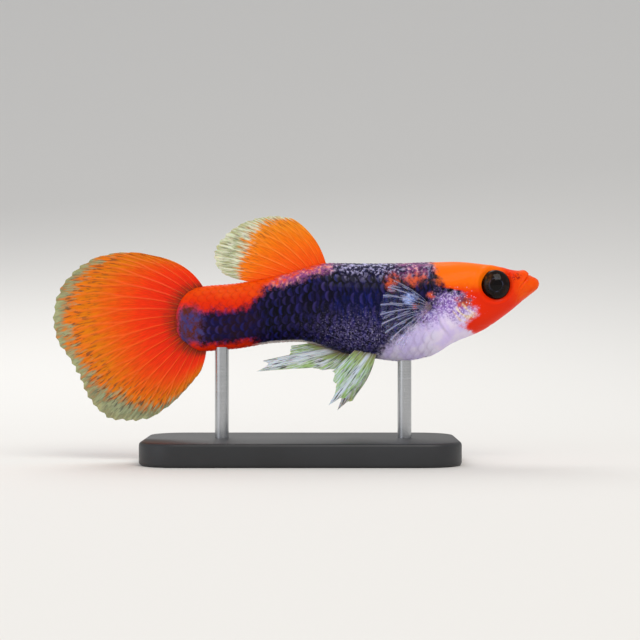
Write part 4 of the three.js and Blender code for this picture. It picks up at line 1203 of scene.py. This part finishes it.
# %% Fins on the midline
def make_midline_fin(name, material, rows, on_back, wave, border, seed, band=None):
    """A fin whose roots follow the outline of the body. On the back its rays fork."""
    table = np.array(rows)
    edge = outline(table[:, 0])[0 if on_back else 1]
    roots = np.stack([table[:, 0], edge], axis=-1)
    forward = table[:, 3] if on_back else -table[:, 3]
    rays = ray_table(roots, table[:, 1:3], forward)
    notch = 0.14 if on_back else 0.1
    grid = fin_grid(rays, per_ray=20, rows=44, forks=on_back, notch=notch, jitter=0.1, seed=seed)

    def middle(x, z, along):
        return wave * along**2 * np.sin(0.9 * x)

    return fin_sheet(name, material, grid, middle, 0.12, border, band=band)


dorsal_fin = make_midline_fin("back_fin", BACK_FIN, DORSAL_RAYS, True, 0.008, DORSAL_BORDER, 5)
settle(dorsal_fin, "orange_fin", "dorsal_fin")
anal_fin = make_midline_fin("vent_fin", PALE_FIN, ANAL_RAYS, False, 0.0, PALE_BORDER, 6, ANAL_BAND)
settle(anal_fin, "clear_fin", "anal_fin")

# %% [markdown]
# ## Paired fins
# The pelvic fins hang below the belly with one long ray each, and the far one is swung forward.
# The pectoral fins leave the flank behind the gill and stand a little off it. A Mirror modifier
# would make both sides alike, and a fish moves its paired fins one by one, so each fin is made on
# its own, by a function that is told its side.

# %% Measures of the paired fins
PELVIC_RAYS = (
    (7.00, 5.00, -6.75, 0.25), (6.75, 4.30, -7.50, 0.15), (6.50, 2.80, -8.15, 0.0),
    (6.10, 3.40, -7.00, 0.0), (5.70, 3.20, -6.10, 0.0), (5.20, 3.15, -5.30, 0.0),
)
PELVIC_INSET, PELVIC_SPLAY, PELVIC_SUNK = 0.95, 0.22, 0.2
LEFT_SWING = 10.0  # degrees by which the left pelvic fin is swung forward
PECTORAL_TOP, PECTORAL_BOTTOM = np.array([11.15, 0.7]), np.array([10.85, -0.6])
PECTORAL_COUNT, PECTORAL_LENGTH = 10, 3.6
PECTORAL_ANGLES = (148, 238)
PECTORAL_SUNK, PECTORAL_STEP, PECTORAL_SPLAY = 0.25, 0.95, 0.16
PECTORAL_BULGE, STEP_OVER = 0.15, 0.5  # of its rays, and the length over which it steps out
CLEAR_BORDER = ((0.0, -0.03), (1.0, -0.03))


# %% Pelvic fins
def make_pelvic_fin(side, word, swing):
    """Rays from the belly at a set distance from the midline, leaning outwards as they go down."""
    table = np.array(PELVIC_RAYS)
    x = table[:, 0]
    top, low = outline(x)
    level = low + (top - low) * along_table(SECTIONS, 1, x)
    square = along_table(SECTIONS, 3, x)
    inset = PELVIC_INSET / along_table(STATIONS, 3, x)
    z = level - (level - low) * (1 - inset**square) ** (1 / square)
    pivot = np.array([x[0], z[0]])
    a = math.radians(swing)
    turn = np.array([[math.cos(a), math.sin(a)], [-math.sin(a), math.cos(a)]])
    tips = pivot + (table[:, 1:3] - pivot) @ turn
    rays = ray_table(np.stack([x, z + PELVIC_SUNK], axis=-1), tips, -table[:, 3])

    def middle(px, pz, along):
        return side * (PELVIC_INSET + PELVIC_SPLAY * along)

    grid = fin_grid(rays, per_ray=24, rows=40, forks=False, notch=0.3, jitter=0.12, seed=11)
    fin = fin_sheet("pelvic_sheet_" + word, PALE_FIN, grid, middle, 0.15, PALE_BORDER, band=PELVIC_BAND)
    settle(fin, "clear_fin", "pelvic_fin_" + word)


make_pelvic_fin(-1, "right", 0.0)
make_pelvic_fin(1, "left", LEFT_SWING)


# %% Pectoral fins
def make_pectoral_fin(side, word):
    """A fan of rays from a short root on the flank, longest in the middle. The sheet steps out
    from the flank within half a millimetre and then lies back along it."""
    share = np.linspace(0, 1, PECTORAL_COUNT)
    aim = np.radians(PECTORAL_ANGLES[0] + (PECTORAL_ANGLES[1] - PECTORAL_ANGLES[0]) * share)
    roots = PECTORAL_TOP + (PECTORAL_BOTTOM - PECTORAL_TOP) * share[:, None]
    length = PECTORAL_LENGTH * (0.8 + 0.3 * np.sin(math.pi * (0.15 + 0.75 * share)))
    rays = ray_table(roots, roots + length[:, None] * unit(aim), np.full(PECTORAL_COUNT, PECTORAL_BULGE))
    flank = side_at(PECTORAL_TOP[0], 0.0) - PECTORAL_SUNK

    def middle(x, z, along):
        out = PECTORAL_STEP * (1 - np.exp(-(along + 0.1) / STEP_OVER))
        return side * (flank + out + PECTORAL_SPLAY * along)

    grid = fin_grid(rays, per_ray=20, rows=40, forks=False, notch=0.12, jitter=0.08, seed=12)
    fin = fin_sheet("pectoral_sheet_" + word, SIDE_FIN, grid, middle, 0.2, CLEAR_BORDER)
    settle(fin, "clear_fin", "pectoral_fin_" + word)


for side, word in SIDES:
    make_pectoral_fin(side, word)

# %% [markdown]
# ## Stand
# A museum holds such a fish on thin steel rods over a dark plate. The plate is moulded ABS with a
# fine spark-eroded grain, the rods are drawn steel, brushed round. The CAD's own solids could stay,
# but their facets would show on a rod this thin. So both are new surfaces: the plate is a stack of
# rounded outlines, a rod is a stack of circles.

# %% Moulded plastic
def plastic_material():
    """Moulded ABS, satin: a grain of about 0.12 mm and slight changes of gloss."""
    material, tree = new_material("moulded_black_abs")
    place = add(tree, "TexCoord").outputs["Object"]
    grain = add(tree, "TexNoise", {"Vector": place, "Scale": scale_of(0.12), "Detail": 2.0})
    cloud = add(tree, "TexNoise", {"Vector": place, "Scale": scale_of(6.0), "Detail": 3.0})
    share = add(tree, "MapRange", {"Value": cloud, "From Min": 0.3, "From Max": 0.7}, **SOFT)
    colour = add(tree, "Mix", {"Factor": share, "A": "#1E1F21", "B": "#26272A"}, **COLOUR)
    rough = add(tree, "MapRange", {"Value": cloud, "To Min": 0.42, "To Max": 0.52})
    bump = add(tree, "Bump", {"Height": grain, "Strength": 0.3, "Distance": 0.02 * MM})
    surface = {"Base Color": colour, "Roughness": rough, "IOR": 1.53, "Normal": bump}
    surface = add(tree, "BsdfPrincipled", surface)
    return finish_material(material, surface)


# %% Brushed steel
def steel_material():
    """Drawn stainless steel, brushed round the rod. Real brush lines are 0.03 mm apart, and they
    are drawn at 0.15 mm so that they show."""
    material, tree = new_material("brushed_stainless_steel")
    place = add(tree, "TexCoord").outputs["Object"]
    laid = add(tree, "Mapping", {"Vector": place, "Scale": (0.05, 0.05, 1.0)})
    lines = add(tree, "TexNoise", {"Vector": laid, "Scale": scale_of(0.15), "Detail": 1.0})
    colour = add(tree, "Mix", {"Factor": lines, "A": "#A9ABAD", "B": "#C6C7C9"}, **COLOUR)
    rough = add(tree, "MapRange", {"Value": lines, "To Min": 0.2, "To Max": 0.3})
    bump = add(tree, "Bump", {"Height": lines, "Strength": 0.1, "Distance": 0.01 * MM})
    surface = {"Base Color": colour, "Metallic": 1.0, "Roughness": rough, "Normal": bump}
    surface = add(tree, "BsdfPrincipled", surface)
    return finish_material(material, surface)


# %% Stacks of rings
PLATE_BEVEL, PLATE_CORNER = 0.3, 3.3
ROD_IN_PLATE, ROD_IN_FISH = 0.5, 0.25  # lengths of rod that are hidden at its foot and its head


def stacked(name, outlines, levels, material):
    """Outlines of equal length at heights above the floor, joined up and closed with a flat face
    at the foot and at the head."""
    rows, sides = len(outlines), len(outlines[0])
    rings = [
        np.column_stack([flat, np.full(sides, level - FISH_HEIGHT)])
        for flat, level in zip(outlines, levels)
    ]
    faces = grid_faces(rows, sides, closed=True).tolist()
    faces.append(list(range(sides))[::-1])
    faces.append(list(range((rows - 1) * sides, rows * sides)))
    return put_mesh(name, np.concatenate(rings), faces, material, sharp=30.0)


def rounded_outline(half_x, half_y, corner, steps=12):
    """Corners as quarter circles, counter-clockwise seen from above."""
    quarter = np.linspace(0, math.pi / 2, steps)
    pieces = []
    for k, (sx, sy) in enumerate(((1, 1), (-1, 1), (-1, -1), (1, -1))):
        a = quarter + k * math.pi / 2
        centre = np.array([sx * (half_x - corner), sy * (half_y - corner)])
        pieces.append(centre + corner * unit(a))
    return np.concatenate(pieces)


# %% Plate and rods
def make_base():
    """The plate: its rim is a quarter circle at the top and at the bottom."""
    low, high = (np.array(corner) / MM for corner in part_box("stand_base"))
    half, middle = (high - low) / 2, (high + low) / 2
    lean = np.linspace(0, math.pi / 2, 5)
    over, under = PLATE_BEVEL * (1 - np.sin(lean)), PLATE_BEVEL * (1 - np.cos(lean))
    outlines = [
        rounded_outline(half[0] - inset, half[1] - inset, PLATE_CORNER - inset) + middle[:2]
        for inset in np.concatenate([over, under])
    ]
    levels = low[2] + np.concatenate([under, 2 * half[2] - over])
    base = stacked("stand_plate", outlines, levels, plastic_material())
    settle(base, "base_plate", "stand_base")


def make_rod(node, material):
    """A rod from the plate up into the fish, as thick as the CAD's, its foot sunk in the plate."""
    low, high = (np.array(corner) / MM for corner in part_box(node))
    radius, centre = (high[0] - low[0]) / 2, (low + high) / 2
    turn = np.linspace(0, 2 * math.pi, 48, endpoint=False)
    plate_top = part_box("stand_base")[1][2] / MM
    levels = [plate_top - ROD_IN_PLATE, plate_top + 0.02, high[2] - 0.3, high[2] + ROD_IN_FISH]
    circle = centre[:2] + radius * unit(turn)
    rod = stacked(node.replace("stand_", "") + "_turned", [circle] * 4, levels, material)
    settle(rod, "rod", node)


make_base()
steel = steel_material()
for node in ("stand_rod_front", "stand_rod_rear"):
    make_rod(node, steel)

# %% [markdown]
# ## Studio
# A small model is photographed on a bent sheet of pale paper, so there is no horizon line. A plane
# with a wall behind it would show the corner between them. A large soft lamp above and in front
# shapes the body, a second one fills from the side, and one behind shines through the fins, as
# light does in water. The camera looks level at the fish from its right side.

# %% Floor
SWEEP_SIZE = 900.0  # half the sheet's breadth, and the radius of its bend, in mm
BEND_FROM = 60.0  # where the bend sets in behind the fish


def make_sweep():
    """Floor that curves up into a wall: a profile of a line and a wide quarter circle."""
    material, tree = new_material("pale_paper_sweep")
    surface = add(tree, "BsdfPrincipled", {"Base Color": "#E6E4E0", "Roughness": 0.9})
    finish_material(material, surface)
    bend = np.linspace(0, math.pi / 2, 60)
    y = np.concatenate([[-SWEEP_SIZE], BEND_FROM + SWEEP_SIZE * np.sin(bend)])
    z = np.concatenate([[0.0], SWEEP_SIZE - SWEEP_SIZE * np.cos(bend)])
    x = np.array([-SWEEP_SIZE, SWEEP_SIZE])[:, None]
    points = np.stack([x + 0 * y, y + 0 * x, z + 0 * x - FISH_HEIGHT], axis=-1)
    faces = grid_faces(2, len(y))[:, ::-1].tolist()
    sweep = put_mesh("sweep", points.reshape(-1, 3), faces, material)


make_sweep()

# %% Lamps and the air
AIM = (2.0, 0.0, 12.0)  # the middle of the fish, in millimetres from the floor
LAMPS = (  # name, place, size in mm, watts, colour
    ("key", (120, -300, 380), 300, 1.1, "#FFFAF2"),
    ("fill", (-380, -260, 120), 300, 0.3, "#F2F6FF"),
    ("through", (-60, 150, 200), 160, 0.25, "#FFFFFF"),
)


def make_lamp(name, place, size, watts, colour):
    """A square area lamp at place, in millimetres from the floor, turned to the fish: tilted by
    the angle whose cosine is its height over its distance, then turned to its bearing."""
    data = bpy.data.lights.new(name, "AREA")
    data.shape, data.size, data.energy = "SQUARE", size * MM, watts
    data.color = linear(colour)[:3]
    lamp = bpy.data.objects.new(name, data)
    away = np.array(place, float) - np.array(AIM, float)
    lamp.location = np.array(place) * MM
    lamp.rotation_euler = (
        math.acos(away[2] / np.linalg.norm(away)), 0.0, math.atan2(away[1], away[0]) + math.pi / 2
    )
    bpy.context.scene.collection.objects.link(lamp)
    print(name, "lamp", round(np.linalg.norm(away)), "mm from the fish")


for lamp_row in LAMPS:
    make_lamp(*lamp_row)

world = bpy.data.worlds.new("studio_air")
bpy.context.scene.world = world
world.use_nodes = True
background = world.node_tree.nodes["Background"]
background.inputs["Color"].default_value = linear("#F4F6FA")
background.inputs["Strength"].default_value = 0.6

# %% Camera
FRAME_WIDTH = 55.04  # width of the picture at the fish, in mm
FRAME_MIDDLE = (2.14, 12.13)  # along the fish and above the floor, in mm
LENS, SENSOR = 100.0, 36.0
distance = FRAME_WIDTH * LENS / SENSOR
print("camera", round(distance), "mm from the fish")
camera_data = bpy.data.cameras.new("camera")
camera_data.lens, camera_data.sensor_width = LENS, SENSOR
camera = bpy.data.objects.new("camera", camera_data)
camera.location = np.array([FRAME_MIDDLE[0], -distance, FRAME_MIDDLE[1]]) * MM
camera.rotation_euler = (math.radians(90), 0.0, 0.0)
camera_data.clip_start, camera_data.clip_end = 0.005, 5.0
bpy.context.scene.collection.objects.link(camera)
bpy.context.scene.camera = camera
bpy.context.scene.view_settings.view_transform = "Standard"
